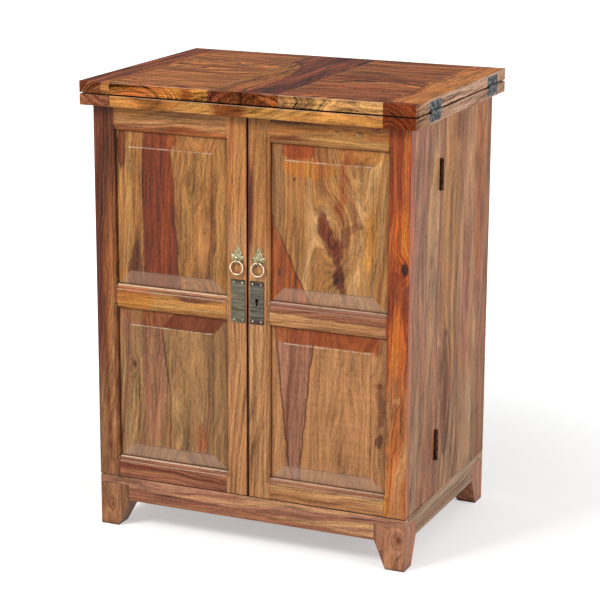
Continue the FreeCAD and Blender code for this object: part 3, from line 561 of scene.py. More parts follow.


# Boards of the top.

# The tops take painted shade on their level faces from the tint, and a painted highlight on their arrises
# from the crest.
TOP = dict(gloss=0.004, coat=0.0, flecks=2.3, finish=dict(tint=(0.98, 0.74, 0.52, 1.0), crest=0.8))
PALE_LINE = tongue(0.035, 0.02, 0.0026, 0.28, PALE_MAUVE, DUSK, soft=0.001, wobble=0.002, square=6.0)
FRONT_END = tongue(0.0, -0.267, 0.1, 0.004, AMBER, MAROON)
dress("leaf_cleats",
    ("leaf_cleat_left", on_left, "XZY",
     timber(1, BROWN, CHESTNUT, UMBER, EBONY, TOP, streaks=0.7, pith_across=0.03, pith_depth=-0.05,
         rings=110,
         patches=(
             tongue(0.026, 0.0, 0.01, ENDLESS, HONEY, BROWN, 0.6),
             tongue(-0.02, 0.1, 0.006, 0.16, AMBER, RUSSET, 0.6)))),
    ("leaf_cleat_right", on_right, "XZY",
     timber(2, STRAW, TAN, BROWN, RUSSET, TOP, streaks=0.7, pith_across=-0.012, pith_depth=-0.03, rings=110,
         contrast=2.6, flecks=1.6,
         patches=(
             tongue(0.0, -0.266, 0.06, 0.022, RUSSET, UMBER, 0.95),
             PALE_LINE))))
dress("leaf_field_boards",
    ("leaf_field_left", on_left, "YZX",
     timber(3, TAN, TAN, BROWN, UMBER, TOP, streaks=0.95, pith_across=0.06, pith_depth=-0.05, rings=80,
         warp=0.08, contrast=2.8, knots=(knot(-0.25, 0.05, 0.03, 0.02),),
         patches=(
             tongue(-0.267, 0.0, 0.006, ENDLESS, GOLD, AMBER, 0.75),
             tongue(-0.264, -0.04, 0.016, 0.05, AMBER, RUSSET, 0.6, soft=0.01),
             tongue(-0.264, 0.062, 0.012, 0.012, RUSSET, UMBER, 0.8, soft=0.014),
             tongue(0.03, 0.02, 0.02, 0.09, BROWN, CHESTNUT, 0.85, wobble=0.03),
             tongue(-0.05, -0.03, 0.012, 0.07, BROWN, CHESTNUT, 0.7, wobble=0.03),
             tongue(0.12, 0.03, 0.01, 0.08, ROSE, CHESTNUT, 0.6, wobble=0.03)))),
    ("leaf_field_right", on_right, "YZX",
     timber(4, TAN, BROWN, ROSE, UMBER, TOP, streaks=0.95, pith_across=-0.1, pith_depth=-0.06, rings=80,
         warp=0.08, contrast=2.8,
         patches=(
             tongue(0.02, 0.0, 0.03, 0.12, ROSE, CHESTNUT, 0.8, wobble=0.04),
             tongue(-0.12, 0.02, 0.014, 0.1, AMBER, CHESTNUT, 0.7, wobble=0.03),
             tongue(-0.267, 0.0, 0.006, 0.3, STRAW, OLIVE, 0.8)))))
dress("leaf_centre_boards",
    ("leaf_band_left", on_left, "XZY",
     timber(5, ROSE, PLUM, CHESTNUT, EBONY, TOP, streaks=0.6, pith_across=0.05, pith_depth=-0.06, rings=100,
         patches=(
             tongue(-0.0375, -0.264, 0.085, 0.42, STRAW, BROWN, rim=0.9),
             FRONT_END))),
    ("leaf_band_right", on_right, "XZY",
     timber(6, ROSE, PLUM, CHESTNUT, EBONY, TOP, streaks=0.8, pith_across=0.02, pith_depth=-0.03, rings=100,
         patches=(FRONT_END,))))
dress("lower_top_cleats",
    ("lower_cleat_left", on_left, "XZY",
     timber(7, TAN, ROSE, CHESTNUT, UMBER, TOP, pith_across=0.05, rings=110, flecks=1.3)),
    ("lower_cleat_right", on_right, "XZY",
     timber(8, HONEY, BROWN, ROSE, CHESTNUT, TOP, pith_across=-0.01, pith_depth=-0.03, rings=110,
         flecks=1.2,
         patches=(
             tongue(0.0, -0.266, 0.06, 0.02, RUSSET, UMBER, 0.95),
             PALE_LINE))))
dress("lower_top_board",
    ("lower_board", anywhere, "YZX",
     timber(9, STRAW, HONEY, BROWN, CHESTNUT, TOP, streaks=0.5, warp=0.05, flecks=1.3,
         patches=(
             tongue(-0.26, -0.03, 0.03, 0.035, RUSSET, CHESTNUT, 0.8, soft=0.01),
             tongue(-0.26, -0.2, 0.02, 0.05, AMBER, CHESTNUT, 0.5, soft=0.01)))))

# Door fronts.

# Painted light on the door panels: painted shade and painted reflection on the bevels, and a painted
# highlight and painted shade round the raised field.
PANEL_PAINTED_LIGHT = dict(bloom=0.45, field_across=0.0936, field_along=0.129, edge=0.6)
# How strong the painted highlight on the crests of the rails' mouldings is, door by door.
RAIL_CREST = {"left_door": 0.75, "right_door": 0.45}
LEFT_LOOKS = {
    "outer_stile": timber(11, ROSE, CHESTNUT, UMBER, EBONY, streaks=0.9, rings=110,
        patches=(
            tongue(0.008, 0.02, 0.012, 0.2, HONEY, AMBER, 0.55, soft=0.008),
            tongue(-0.026, 0.1, 0.016, 0.4, MAROON, UMBER, 0.7, soft=0.005, wobble=0.03),
            tongue(0.012, -0.25, 0.008, 0.3, TAN, BROWN, 0.7, taper=-0.01),
            tongue(-0.012, -0.32, 0.01, 0.16, TAN, OLIVE, 0.6, soft=0.006))),
    "inner_stile": timber(12, TAN, TAN, BROWN, CHESTNUT, streaks=0.5, pith_across=0.1, contrast=1.6,
        patches=(
            tongue(0.0, 0.3, 0.03, 0.12, HONEY, AMBER, 0.6, soft=0.01),
            # Painted shade: a dark line down the edge beside the gap between the doors.
            tongue(0.0238, 0.0, 0.0022, ENDLESS, CHESTNUT, UMBER, 0.8, soft=0.0012, wobble=0.002))),
    "top_rail": timber(13, TAN, CARAMEL, BROWN, CHESTNUT, streaks=0.5,
        patches=(
            tongue(-0.02, 0.0, 0.006, ENDLESS, AMBER, RUSSET, 0.85, wobble=0.02),
            tongue(-0.013, 0.02, 0.006, 0.05, RUSSET, CHESTNUT, 0.8, wobble=0.02))),
    "middle_rail": timber(14, STRAW, HONEY, BROWN, CHESTNUT, streaks=0.5,
        patches=(
            tongue(0.0, -0.085, 0.03, 0.045, GOLD, AMBER, 0.8),
            tongue(0.008, 0.05, 0.004, 0.05, BROWN, CHESTNUT, 0.7))),
    "bottom_rail": timber(15, BROWN, ROSE, PLUM, MAROON, streaks=0.9, rings=100, warp=0.07, contrast=2.0),
    "upper_panel": timber(16, STRAW, CARAMEL, BROWN, CHESTNUT, streaks=0.35, contrast=2.0, flecks=1.2,
        patches=(
            tongue(-0.025, 0.0, 0.036, ENDLESS, RUSSET, MAROON, 0.95, taper=-0.03, lean=-0.03, rim=0.5,
                wobble=0.012, soft=0.002),
            tongue(-0.022, 0.147, 0.036, 0.018, AMBER, MAROON, wobble=0.01),
            tongue(-0.112, 0.125, 0.009, 0.036, RUSSET, MAROON, rim=0.8, wobble=0.01),
            tongue(-0.08, -0.13, 0.018, 0.09, CHESTNUT, UMBER, 0.85, taper=-0.16, lean=0.1),
            tongue(-0.108, -0.145, 0.014, 0.02, GOLD, AMBER, 0.6, soft=0.006),
            tongue(0.092, -0.02, 0.006, 0.09, OLIVE, CHESTNUT, 0.5, wobble=0.03, soft=0.004)),
        finish=dict(PANEL_PAINTED_LIGHT, ripple=0.12, bloom=0.36)),
    "lower_panel": timber(17, SAP, OLIVE, ROSE, UMBER, streaks=0.5, contrast=2.0, warp=0.03,
        pith_across=0.02, pith_depth=0.09, knots=(knot(-0.084, 0.044, 0.009, 0.012),),
        patches=(
            tongue(-0.04, 0.02, 0.026, 0.15, PINK, ROSE, 0.6, wobble=0.02),
            tongue(0.04, 0.07, 0.046, 0.075, TAN, OLIVE, 0.6, square=4.0, wobble=0.01, soft=0.004),
            tongue(-0.014, 0.07, 0.0022, 0.075, CHESTNUT, UMBER, 0.85, lean=-0.12, wobble=0.012,
                soft=0.001),
            tongue(-0.004, -0.065, 0.002, 0.075, CHESTNUT, UMBER, 0.8, wobble=0.008, soft=0.001),
            tongue(-0.076, -0.04, 0.0018, 0.08, CHESTNUT, UMBER, 0.8, wobble=0.012, soft=0.0012),
            tongue(-0.02, 0.145, 0.05, 0.016, AMBER, CHESTNUT, 0.55, wobble=0.01, square=6.0, soft=0.004),
            tongue(0.05, 0.145, 0.06, 0.016, CHESTNUT, UMBER, lean=0.8, wobble=0.004, square=8.0,
                soft=0.0015),
            tongue(-0.11, 0.13, 0.012, 0.04, ROSE, PLUM, 0.6),
            tongue(0.068, -0.1, 0.012, 0.03, ROSE, AMBER, 0.7, soft=0.006),
            tongue(0.112, 0.0, 0.014, 0.13, OLIVE, OLIVE, 0.5, soft=0.008)),
        finish=dict(PANEL_PAINTED_LIGHT, ripple=0.16))}
RIGHT_LOOKS = {
    "outer_stile": timber(21, HONEY, FLAME, RUSSET, CHESTNUT, streaks=0.7, rings=110, contrast=2.8,
        flecks=1.1, knots=(knot(0.014, 0.119, 0.016, 0.016, core=1.0), knot(0.005, -0.148, 0.007, 0.01)),
        patches=(
            tongue(-0.006, 0.3, 0.02, 0.12, BROWN, RUSSET, 0.6, soft=0.01),
            tongue(0.004, -0.26, 0.03, 0.2, TAN, AMBER, 0.8, soft=0.01),
            tongue(0.006, 0.18, 0.017, 0.06, GOLD, FLAME, 0.85, soft=0.008),
            tongue(0.0, -0.035, 0.02, 0.055, GOLD, FLAME, 0.7, soft=0.008),
            tongue(0.004, 0.07, 0.012, 0.03, RUSSET, CHESTNUT, 0.55, soft=0.008),
            tongue(0.014, 0.119, 0.008, 0.012, MAROON, EBONY, 0.95, soft=0.003, wobble=0.01),
            tongue(-0.021, -0.34, 0.005, 0.09, GOLD, HONEY, 0.8))),
    "inner_stile": timber(22, SAP, TAN, BROWN, CHESTNUT, streaks=0.3, contrast=1.5,
        patches=(
            tongue(0.0, 0.28, 0.04, 0.17, CARAMEL, AMBER, 0.85, soft=0.01),
            tongue(-0.0255, 0.21, 0.0135, 0.105, MAROON, EBONY, 0.95, soft=0.004, wobble=0.006),
            # Painted shade: a dark line down the edge beside the gap between the doors.
            tongue(-0.0238, 0.0, 0.0022, ENDLESS, CHESTNUT, UMBER, 0.8, soft=0.0012, wobble=0.002))),
    "top_rail": timber(23, STRAW, CARAMEL, AMBER, CHESTNUT, streaks=0.9,
        knots=(knot(0.009, 0.017, 0.008, 0.012), knot(0.009, 0.064, 0.01, 0.014)),
        patches=(tongue(-0.013, -0.1, 0.006, 0.05, RUSSET, CHESTNUT, 0.8),)),
    "middle_rail": timber(24, SAP, TAN, BROWN, CHESTNUT, streaks=0.5,
        patches=(tongue(0.02, 0.0, 0.018, ENDLESS, ROSE, MAROON, lean=-0.02, rim=0.6, wobble=0.012),)),
    "bottom_rail": timber(25, SAP, TAN, BROWN, CHESTNUT, streaks=0.5,
        patches=(tongue(0.02, 0.0, 0.008, ENDLESS, ROSE, CHESTNUT, 0.7),)),
    "upper_panel": timber(26, SAP, CARAMEL, BROWN, CHESTNUT, streaks=0.3, contrast=1.8, flecks=1.0,
        knots=(knot(0.02, -0.005, 0.04, 0.04, core=0.0), knot(0.009, -0.024, 0.012, 0.02)),
        patches=(
            tongue(-0.13, 0.03, 0.0, ENDLESS, FLAME, MAROON, 0.85, taper=-0.49, rim=0.9, wobble=0.014),
            tongue(-0.066, 0.15, 0.034, 0.018, FLAME, RUSSET, 0.95, wobble=0.006, square=2.6, soft=0.003,
                rim=0.3),
            tongue(-0.108, 0.07, 0.016, 0.1, OLIVE, BROWN, 0.7, soft=0.004),
            tongue(-0.04, 0.115, 0.06, 0.02, GOLD, AMBER, 0.75, soft=0.012),
            tongue(0.07, 0.148, 0.05, 0.012, GOLD, HONEY, 0.5, soft=0.006),
            tongue(0.088, -0.02, 0.012, 0.07, GOLD, HONEY, 0.7, soft=0.006),
            tongue(0.032, 0.09, 0.012, 0.08, AMBER, RUSSET, 0.7, lean=0.15, wobble=0.05, soft=0.006),
            tongue(0.052, 0.05, 0.007, 0.05, BROWN, CHESTNUT, 0.7, lean=-0.2, wobble=0.04),
            tongue(-0.002, -0.012, 0.012, 0.04, RUSSET, UMBER, 0.95, lean=-0.25, wobble=0.03, rim=0.6),
            tongue(0.042, -0.012, 0.013, 0.026, BROWN, MAROON, 0.6, lean=0.7, wobble=0.07, soft=0.006,
                rim=0.3),
            tongue(0.022, -0.04, 0.012, 0.02, RUSSET, UMBER, 0.85, wobble=0.03),
            tongue(0.024, -0.09, 0.007, 0.05, RUSSET, UMBER, lean=-0.15, wobble=0.03, rim=0.5),
            tongue(0.025, -0.098, 0.012, 0.02, MAROON, UMBER, 0.85, wobble=0.02, soft=0.003),
            tongue(-0.072, 0.0926, 0.0024, 0.0034, UMBER, EBONY, soft=0.0012, wobble=0.0),
            tongue(-0.107, -0.1, 0.004, 0.008, CHESTNUT, UMBER, 0.8, wobble=0.01, soft=0.002)),
        finish=dict(PANEL_PAINTED_LIGHT, ripple=0.14)),
    "lower_panel": timber(27, TAN, TAN, BROWN, BROWN, streaks=0.3, contrast=1.7, flecks=0.8,
        knots=(knot(0.104, 0.062, 0.01, 0.02), knot(0.114, -0.015, 0.012, 0.02)),
        patches=(
            tongue(-0.0715, 0.15, 0.043, ENDLESS, PINK, PLUM, taper=0.113, rim=0.9, wobble=0.014),
            tongue(-0.075, 0.146, 0.04, 0.0155, AMBER, RUSSET, 0.75, square=6.0, soft=0.003),
            tongue(0.036, 0.146, 0.07, 0.0155, AMBER, RUSSET, wobble=0.006, square=6.0, soft=0.003),
            tongue(0.104, 0.142, 0.012, 0.018, AMBER, CHESTNUT, 0.8, soft=0.006),
            tongue(0.108, 0.062, 0.005, 0.007, CHESTNUT, UMBER, 0.8, wobble=0.02, soft=0.002),
            tongue(0.114, -0.052, 0.008, 0.016, CHESTNUT, EBONY, 0.8, wobble=0.03, soft=0.003),
            tongue(0.113, 0.02, 0.007, 0.05, PLUM, UMBER, 0.7, wobble=0.03, soft=0.004)),
        finish=dict(PANEL_PAINTED_LIGHT, ripple=0.4))}


def dress_door(prefix, looks, seed):
    """A door's front boards have their own looks, and its box boards share two."""
    for part in ("outer_stile", "inner_stile"):
        dress(f"{prefix}_{part}", (f"{prefix}_{part}", anywhere, "XYZ", looks[part]))
    for part in ("top_rail", "middle_rail", "bottom_rail"):
        rail = dict(looks[part], finish=dict(crest=RAIL_CREST[prefix]))
        dress(f"{prefix}_{part}", (f"{prefix}_{part}", anywhere, "ZYX", rail))
    dress(f"{prefix}_panels",
          (f"{prefix}_lower_panel", low_down, "XYZ", looks["lower_panel"]),
          (f"{prefix}_upper_panel", high_up, "XYZ", looks["upper_panel"]))
    box = {"outer_side": ("YXZ", SIDE_LOOK), "inner_side": ("YXZ", INNER_LOOK),
           "box_boards": ("YZX", INNER_LOOK), "gallery_rails": ("ZYX", INNER_LOOK)}
    for number, (part, (axes, shared)) in enumerate(box.items(), seed):
        dress(f"{prefix}_{part}", (f"{prefix}_{part}", anywhere, axes, dict(shared, seed=number)))


SIDE_LOOK = dict(light=DUSTY, middle=DUSK, dark=ROSE, streak=CHESTNUT, streaks=0.35, rings=22,
    contrast=2.8, warp=0.05, flecks=1.2, gloss=0.06, coat=0.0,
    patches=(
        tongue(0.0, -0.42, 0.3, 0.26, ASH, DUSK, 0.6, soft=0.07),
        tongue(-0.04, 0.3, 0.02, 0.2, PINK, PLUM, 0.5, soft=0.008),
        tongue(0.03, 0.05, 0.03, 0.3, STRAW, OLIVE, 0.4, soft=0.008)))
INNER_LOOK = dict(light=TAN, middle=BROWN, dark=ROSE, streak=CHESTNUT, streaks=0.5, coat=0.0)
dress_door("left_door", LEFT_LOOKS, 30)
dress_door("right_door", RIGHT_LOOKS, 40)

# Carcass and base.

dress("left_side_board", ("left_side", anywhere, "YXZ", dict(SIDE_LOOK, seed=50)))
dress("right_side_board",
    ("right_side", anywhere, "YXZ",
     dict(SIDE_LOOK, seed=51, streaks=0.5, contrast=3.4, gloss=0.03, flecks=1.0,
         knots=(knot(-0.096, -0.15, 0.04, 0.04, core=0.0),),
         patches=(
             tongue(-0.085, 0.1, 0.05, 0.3, HONEY, OLIVE, 0.55, soft=0.01),
             tongue(0.013, -0.02, 0.02, 0.19, ROSE, MAROON, 0.75, soft=0.006),
             tongue(0.09, 0.2, 0.03, 0.22, AMBER, CHESTNUT, 0.7, soft=0.01),
             tongue(0.0, -0.42, 0.3, 0.24, ASH, DUSK, 0.6, soft=0.07),
             tongue(-0.05, 0.36, 0.03, 0.03, CHESTNUT, UMBER, 0.5, soft=0.015),
             tongue(-0.1, -0.19, 0.026, 0.13, DUSK, UMBER, 0.8, wobble=0.02, soft=0.006, rim=0.7),
             tongue(-0.1, -0.22, 0.01, 0.08, CHESTNUT, UMBER, 0.7, wobble=0.03, soft=0.004)))))
INNER_AXES = {"back_panel": "XYZ", "middle_shelf": "YZX", "floor_board": "YZX", "stemware_rack": "XZY",
              "bottle_rack_rails": "ZYX", "support_cleats": "XZY"}
for number, (inner, axes) in enumerate(INNER_AXES.items(), 52):
    dress(inner, (inner, anywhere, axes, dict(INNER_LOOK, seed=number)))

BASE_LOOK = dict(light=SAP, middle=TAN, dark=BROWN, streak=CHESTNUT, streaks=0.5)
FOOT_LOOK = dict(light=HONEY, middle=TAN, dark=BROWN, streak=CHESTNUT, streaks=0.5, rings=80)
dress("front_apron",
    ("front_apron", anywhere, "ZYX",
     dict(BASE_LOOK, seed=60, middle=PINK,
         patches=(tongue(-0.045, 0.0, 0.036, ENDLESS, ROSE, PLUM, 0.85, lean=-0.045, rim=0.4,
             wobble=0.012),))))
dress("rear_apron", ("rear_apron", anywhere, "ZYX", dict(BASE_LOOK, seed=61)))
dress("side_aprons", ("side_apron_left", on_left, "ZXY", dict(BASE_LOOK, seed=62, gloss=0.06)),
    ("side_apron_right", on_right, "ZXY",
     dict(BASE_LOOK, seed=64, gloss=0.06, light=PALE_MAUVE, middle=ASH, dark=DUSK)))
dress("feet",
    ("left_feet", on_left, "XYZ",
     dict(FOOT_LOOK, seed=63, gloss=0.08, light=DUSTY, middle=DUSK,
         knots=(knot(-0.005, 0.0, 0.007, 0.012),))),
    ("right_feet", on_right, "XYZ",
     dict(FOOT_LOOK, seed=65, gloss=0.08, light=TAN, middle=PINK, dark=AMBER,
         knots=(knot(0.02, 0.02, 0.014, 0.02),))))

# Metalwork.

BLACK_IRON = metal("black_iron", tone(30, 22, 18), tone(98, 62, 40), 0.45, (180, 180, 180), share=0.56)
GREY_STEEL = metal("grey_steel", tone(18, 20, 24), tone(150, 156, 158), 0.4, (110, 110, 110), share=0.58)
SCREW_IRON = metal("screw_iron", tone(14, 12, 14), tone(30, 28, 30), 0.5, (300, 300, 300))
PLATE_IRON = metal("plate_iron", tone(68, 62, 52), tone(116, 110, 92), 0.4, (20, 60, 500))
NAIL_INSET = 0.002
NAIL_ROWS = [corner.z + inward for corner, inward
             in zip(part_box("right_door_plate_nails"), (NAIL_INSET, -NAIL_INSET))]
LOCK_IRON = metal("lock_iron", tone(62, 57, 52), tone(110, 105, 94), 0.4, (20, 60, 500), rows=NAIL_ROWS)
OLD_BRASS = metal("old_brass", tone(84, 82, 56), tone(196, 186, 150), 0.3, (260, 260, 260))
RING_BRASS = metal("ring_brass", tone(164, 130, 100), tone(228, 200, 172), 0.24, (200, 200, 200), share=0.4)
BRIGHT_STEEL = metal("bright_steel", tone(150, 146, 136), tone(214, 210, 202), 0.28, (200, 200, 200))
NAIL_STEEL = metal("nail_steel", tone(126, 118, 104), tone(196, 188, 172), 0.36, (300, 300, 300))

coat_with(BLACK_IRON, "carcass_hinge_leaves", "left_door_hinge_leaves", "right_door_hinge_leaves",
          "hinge_pins", "lock_case")
coat_with(GREY_STEEL, "leaf_hinge_lower_leaves", "leaf_hinge_upper_leaves")
coat_with(SCREW_IRON, "carcass_hinge_screws", "leaf_hinge_upper_screws", "left_door_hinge_screws",
          "right_door_hinge_screws")
coat_with(PLATE_IRON, "left_door_plate", arris=PLATE_ARRIS)
coat_with(LOCK_IRON, "right_door_plate", arris=PLATE_ARRIS)
coat_with(BRIGHT_STEEL, "lock_bolt", "tower_bolt", "tower_bolt_guides")

# Pulls: cast leaf rosettes with three veined lobes, round rings and domed nails.

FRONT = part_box("left_door_plate")[1].y
PLATE_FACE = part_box("left_door_plate")[0].y
WIRE = 0.0017


def put(name, data):
    """A new object in the scene."""
    item = bpy.data.objects.new(name, data)
    bpy.context.scene.collection.objects.link(item)
    return item


def new_piece(name, bm, material, replaced, body):
    """A modelled piece that is shown in place of a CAD node and moves as the node does."""
    mesh = bpy.data.meshes.new(name)
    bmesh.ops.recalc_face_normals(bm, faces=bm.faces)
    bm.to_mesh(mesh)
    bm.free()
    mesh.materials.append(material)
    item = put(name, mesh)
    smooth(item)
    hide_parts(replaced)
    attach(item, body)
    return item


def circle(middle, radius, count):
    """Points round a level circle."""
    turns = [math.tau * number / count for number in range(count)]
    return [Vector((middle[0] + radius * math.cos(turn), middle[1] + radius * math.sin(turn), middle[2]))
            for turn in turns]


def add_skin(bm, rows, closed_ends=True):
    """A skin over rows of points, each a closed loop, capped at both ends or joined into a ring."""
    loops = [[bm.verts.new(point) for point in row] for row in rows]
    pairs = list(zip(loops, loops[1:]))
    if not closed_ends:
        pairs.append((loops[-1], loops[0]))
    for near, far in pairs:
        count = len(near)
        for number in range(count):
            after = (number + 1) % count
            bm.faces.new((near[number], near[after], far[after], far[number]))
    if closed_ends:
        bm.faces.new(loops[0][::-1])
        bm.faces.new(loops[-1])


def add_lobe(bm, root, tip, width, height, hook=0.0, fullness=0.45):
    """A veined leaf lobe from root to tip, flat on the wood, with a rib along its middle."""
    root, tip = Vector(root), Vector(tip)
    length = (tip - root).length
    forward = (tip - root).normalized()
    aside = Vector((forward.z, 0, -forward.x))
    steps, half = 18, 9
    blunt, rim = 0.02, 0.0006
    veins, vein_height, rib_width, rib_height = 5, 0.1, 0.12, 0.38
    rows = []
    for step in range(steps + 1):
        share = blunt + (1 - 2 * blunt) * step / steps
        swell = math.sin(math.pi * share ** fullness)
        wide = width / 2 * max(swell, 0.05)
        middle = root + forward * (length * share) + aside * (hook * share ** 2)
        row = []
        for number in range(-half, half + 1):
            across = number / half
            dome = math.sqrt(max(1 - across * across, 0))
            rib = math.exp(-(across / rib_width) ** 2)
            vein = math.cos(math.tau * (share * veins - abs(across) * 0.8)) * vein_height * (1 - rib)
            lift = height * (0.25 + 0.75 * swell) * (dome * (1 - rib_height + vein) + rib * rib_height)
            point = middle + aside * (wide * across)
            row.append(Vector((point.x, FRONT - rim - lift, point.z)))
        left, right = row[0], row[-1]
        row.append(Vector((right.x, FRONT, right.z)))
        row.append(Vector((left.x, FRONT, left.z)))
        rows.append(row)
    add_skin(bm, rows)


def add_ball(bm, middle, radii):
    made = bmesh.ops.create_uvsphere(bm, u_segments=16, v_segments=8, radius=1)
    for vertex in made["verts"]:
        vertex.co = Vector(middle) + Vector([axis * radius for axis, radius in zip(vertex.co, radii)])


def add_torus(bm, middle, axis, radius, wire, beat=0.0, around=72, section=14, wide=1.0):
    """A round ring whose wire swells and thins a little as if filed by hand. A wide one is a band."""
    axis = Vector(axis).normalized()
    side = axis.orthogonal().normalized()
    other = axis.cross(side)
    rows = []
    for number in range(around):
        angle = math.tau * number / around
        out = side * math.cos(angle) + other * math.sin(angle)
        uneven = noise.noise(Vector((math.cos(angle), math.sin(angle), radius * 90)) * 2.2)
        thick = wire * (1 + beat * uneven)
        centre = Vector(middle) + out * (radius + wire * beat * 0.6 * uneven)
        row = []
        for step in range(section):
            bend = math.tau * step / section
            row.append(centre + out * (thick * math.cos(bend)) + axis * (thick * wide * math.sin(bend)))
        rows.append(row)
    add_skin(bm, rows, closed_ends=False)


def build_rosette(prefix):
    """The lobes, a boss over their root and the eye that the ring hangs in are cast in one."""
    low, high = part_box(f"{prefix}_pull_rosette")
    ring_low, ring_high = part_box(f"{prefix}_ring")
    across = (ring_low.x + ring_high.x) / 2
    eye = Vector((across, (ring_low.y + ring_high.y) / 2, ring_high.z - WIRE))
    heart = Vector((across, FRONT, low.z + 0.3 * (high.z - low.z)))
    curled = 1 if prefix == "left_door" else 0.6
    left_reach = (across - low.x) * (0.7 + 0.3 * curled)
    left_tip = (across - left_reach, FRONT, heart.z + 0.005 * curled + 0.002)
    bm = bmesh.new()
    add_lobe(bm, heart, (across + 0.001, FRONT, high.z + 0.0005), width=0.016, height=0.0034,
             hook=0.0004, fullness=0.6)
    add_lobe(bm, heart, (high.x, FRONT, heart.z + 0.004), width=0.015, height=0.003, hook=-0.001)
    add_lobe(bm, heart, left_tip, width=0.015, height=0.003, hook=0.0015 * curled)
    for reach in (high.x - 0.002, low.x + 0.003):
        add_lobe(bm, heart, (reach, FRONT, heart.z - 0.003), width=0.009, height=0.0024)
    add_lobe(bm, heart + Vector((0, 0, 0.003)), (across, FRONT, eye.z + 0.0032), width=0.0055,
             height=0.0038)
    add_lobe(bm, heart + Vector((0, 0, 0.002)), (across + 0.0012, FRONT, low.z - 0.0005), width=0.008,
             height=0.0026)
    add_ball(bm, heart + Vector((0, -0.0024, 0.001)), radii=(0.0034, 0.0022, 0.0028))
    if prefix == "right_door":
        add_ball(bm, (low.x + 0.004, FRONT - 0.0024, heart.z + 0.0035), radii=(0.0026, 0.0018, 0.0026))
    add_torus(bm, (eye.x, eye.y - 0.0001, eye.z), (1, 0, 0), radius=0.0032, wire=0.001, around=24,
              section=10, wide=1.6)
    item = new_piece(f"{prefix}_rosette_cast", bm, OLD_BRASS, f"{prefix}_pull_rosette", prefix)
    fuse = item.modifiers.new("fuse", "REMESH")
    fuse.mode = "VOXEL"
    fuse.voxel_size = 0.00032
    fuse.use_smooth_shade = True


def build_ring(prefix):
    low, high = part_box(f"{prefix}_ring")
    radius = (high.x - low.x) / 2 - WIRE
    bm = bmesh.new()
    add_torus(bm, (low + high) / 2, (0, 1, 0), radius, 0.94 * WIRE, beat=0.2)
    new_piece(f"{prefix}_ring_round", bm, RING_BRASS, f"{prefix}_ring", prefix.replace("door", "ring"))


def build_nails(prefix):
    """Four domed heads, each on the shank that the plate is nailed through."""
    low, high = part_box(f"{prefix}_plate_nails")
    head, dome, shank, tip = 0.0023, 0.0014, 0.001, 0.0002
    steps, count = 6, 16
    bm = bmesh.new()
    for x in (low.x + head, high.x - head):
        for z in (low.z + head, high.z - head):
            profile = [(high.y, shank), (PLATE_FACE, shank)]
            for step in range(steps + 1):
                angle = math.pi / 2 * step / steps
                radius = head * math.cos(angle) if step < steps else tip
                profile.append((PLATE_FACE - dome * math.sin(angle), radius))
            add_skin(bm, [[Vector((point.x, y, point.y)) for point in circle((x, z, 0), radius, count)]
                          for y, radius in profile])
    new_piece(f"{prefix}_nails_domed", bm, NAIL_STEEL, f"{prefix}_plate_nails", prefix)


def build_pads():
    """Four felt discs, crowned by the weight that they have carried, and pulled in at the waist."""
    profile = [(0.98, 0.0), (0.95, 0.2), (0.94, 0.45), (0.97, 0.66), (0.95, 0.8), (0.86, 0.92),
               (0.66, 0.98), (0.33, 1.0), (0.02, 1.0)]
    bm = bmesh.new()
    for on_side in (on_left, on_right):
        for at_front in (True, False):
            low, high = spans("leaf_pads", lambda point: on_side(point) and (point.y < 0) == at_front)
            middle = (low + high) / 2
            radius = (high.x - low.x) / 2
            height = high.z - low.z
            add_skin(bm, [circle((middle.x, middle.y, low.z + height * rise), radius * share, count=32)
                          for share, rise in profile])
    new_piece("leaf_pads_felt", bm, felt(), "leaf_pads", "carcass")


for door in ("left_door", "right_door"):
    build_rosette(door)
    build_ring(door)
    build_nails(door)
build_pads()


# Stage: a pale floor, soft light and the camera.

AMBIENT = 0.42
FLOOR_REACH = 30.0
FLOOR_GREY = (0.82, 0.82, 0.82, 1.0)
NEAR_GLOW = 0.42
LENS = 124.2
CAMERA_PLACE = (1.6992, -3.8754, 1.5831)
YAW, PITCH, ROLL = 23.554, 14.734, 0.257
LIT_POINT = (0, 0, 0.5)


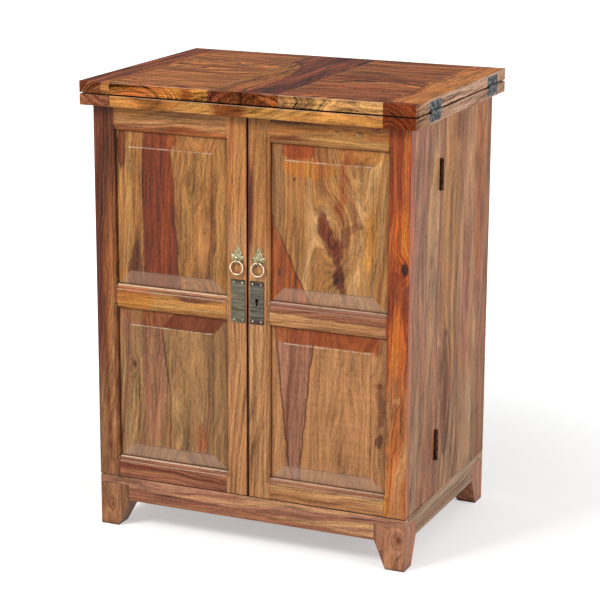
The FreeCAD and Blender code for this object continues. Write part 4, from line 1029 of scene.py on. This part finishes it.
def build_floor():
    """A pale floor that turns fully white away from the object and keeps a soft shadow near it."""
    material, graph, both = new_material("floor", "ShaderNodeAddShader")
    path = graph.outlets("ShaderNodeLightPath")
    seen = graph.math("MAXIMUM", path["Is Camera Ray"], path["Is Glossy Ray"])
    away = graph.outlet("ShaderNodeVectorMath", {0: graph.place()}, "Value", operation="LENGTH")
    glow = NEAR_GLOW + graph.rise(away, 0.5, 2.0) * (1 - NEAR_GLOW)
    graph.feed(both.inputs[0], graph.outlet("ShaderNodeBsdfDiffuse", {"Color": FLOOR_GREY}))
    graph.feed(both.inputs[1], graph.outlet("ShaderNodeEmission", {"Color": WHITE, "Strength": seen * glow}))
    mesh = bpy.data.meshes.new("floor")
    corners = [(x * FLOOR_REACH, y * FLOOR_REACH, 0) for x, y in ((-1, -1), (1, -1), (1, 1), (-1, 1))]
    mesh.from_pydata(corners, [], [(0, 1, 2, 3)])
    mesh.materials.append(material)
    put("floor", mesh)


def build_world():
    """White to the camera, to reflections and through glass, and a dimmer light on everything."""
    world = bpy.data.worlds.new("studio")
    bpy.context.scene.world = world
    world.use_nodes = True
    world.node_tree.nodes.clear()
    graph = Graph(world.node_tree)
    path = graph.outlets("ShaderNodeLightPath")
    seen = graph.math("MAXIMUM", path["Is Camera Ray"], path["Is Transmission Ray"])
    seen = graph.math("MAXIMUM", seen, path["Is Glossy Ray"])
    strength = seen * (1 - AMBIENT) + AMBIENT
    light = graph.outlet("ShaderNodeBackground", {"Color": WHITE, "Strength": strength})
    graph.add("ShaderNodeOutputWorld", {"Surface": light})


def area_light(name, place, wide, power):
    lamp = bpy.data.lights.new(name, "AREA")
    lamp.size = wide
    lamp.energy = power
    item = put(name, lamp)
    item.location = place
    item.rotation_euler = (Vector(LIT_POINT) - Vector(place)).to_track_quat("-Z", "Y").to_euler()


def build_camera():
    """The place and angle that the photograph was taken from."""
    camera = bpy.data.cameras.new("camera")
    camera.sensor_width = 36
    camera.lens = LENS
    item = put("camera", camera)
    turn = (Matrix.Rotation(math.radians(YAW), 4, "Z")
            @ Matrix.Rotation(math.pi / 2 - math.radians(PITCH), 4, "X")
            @ Matrix.Rotation(math.radians(ROLL), 4, "Z"))
    item.matrix_world = Matrix.Translation(CAMERA_PLACE) @ turn
    bpy.context.scene.camera = item


build_floor()
build_world()
area_light("key", place=(-1.6, -3.0, 3.4), wide=1.4, power=120)
area_light("fill", place=(3.4, -0.8, 2.0), wide=2.0, power=55)
build_camera()
bpy.context.scene.view_settings.view_transform = "Standard"
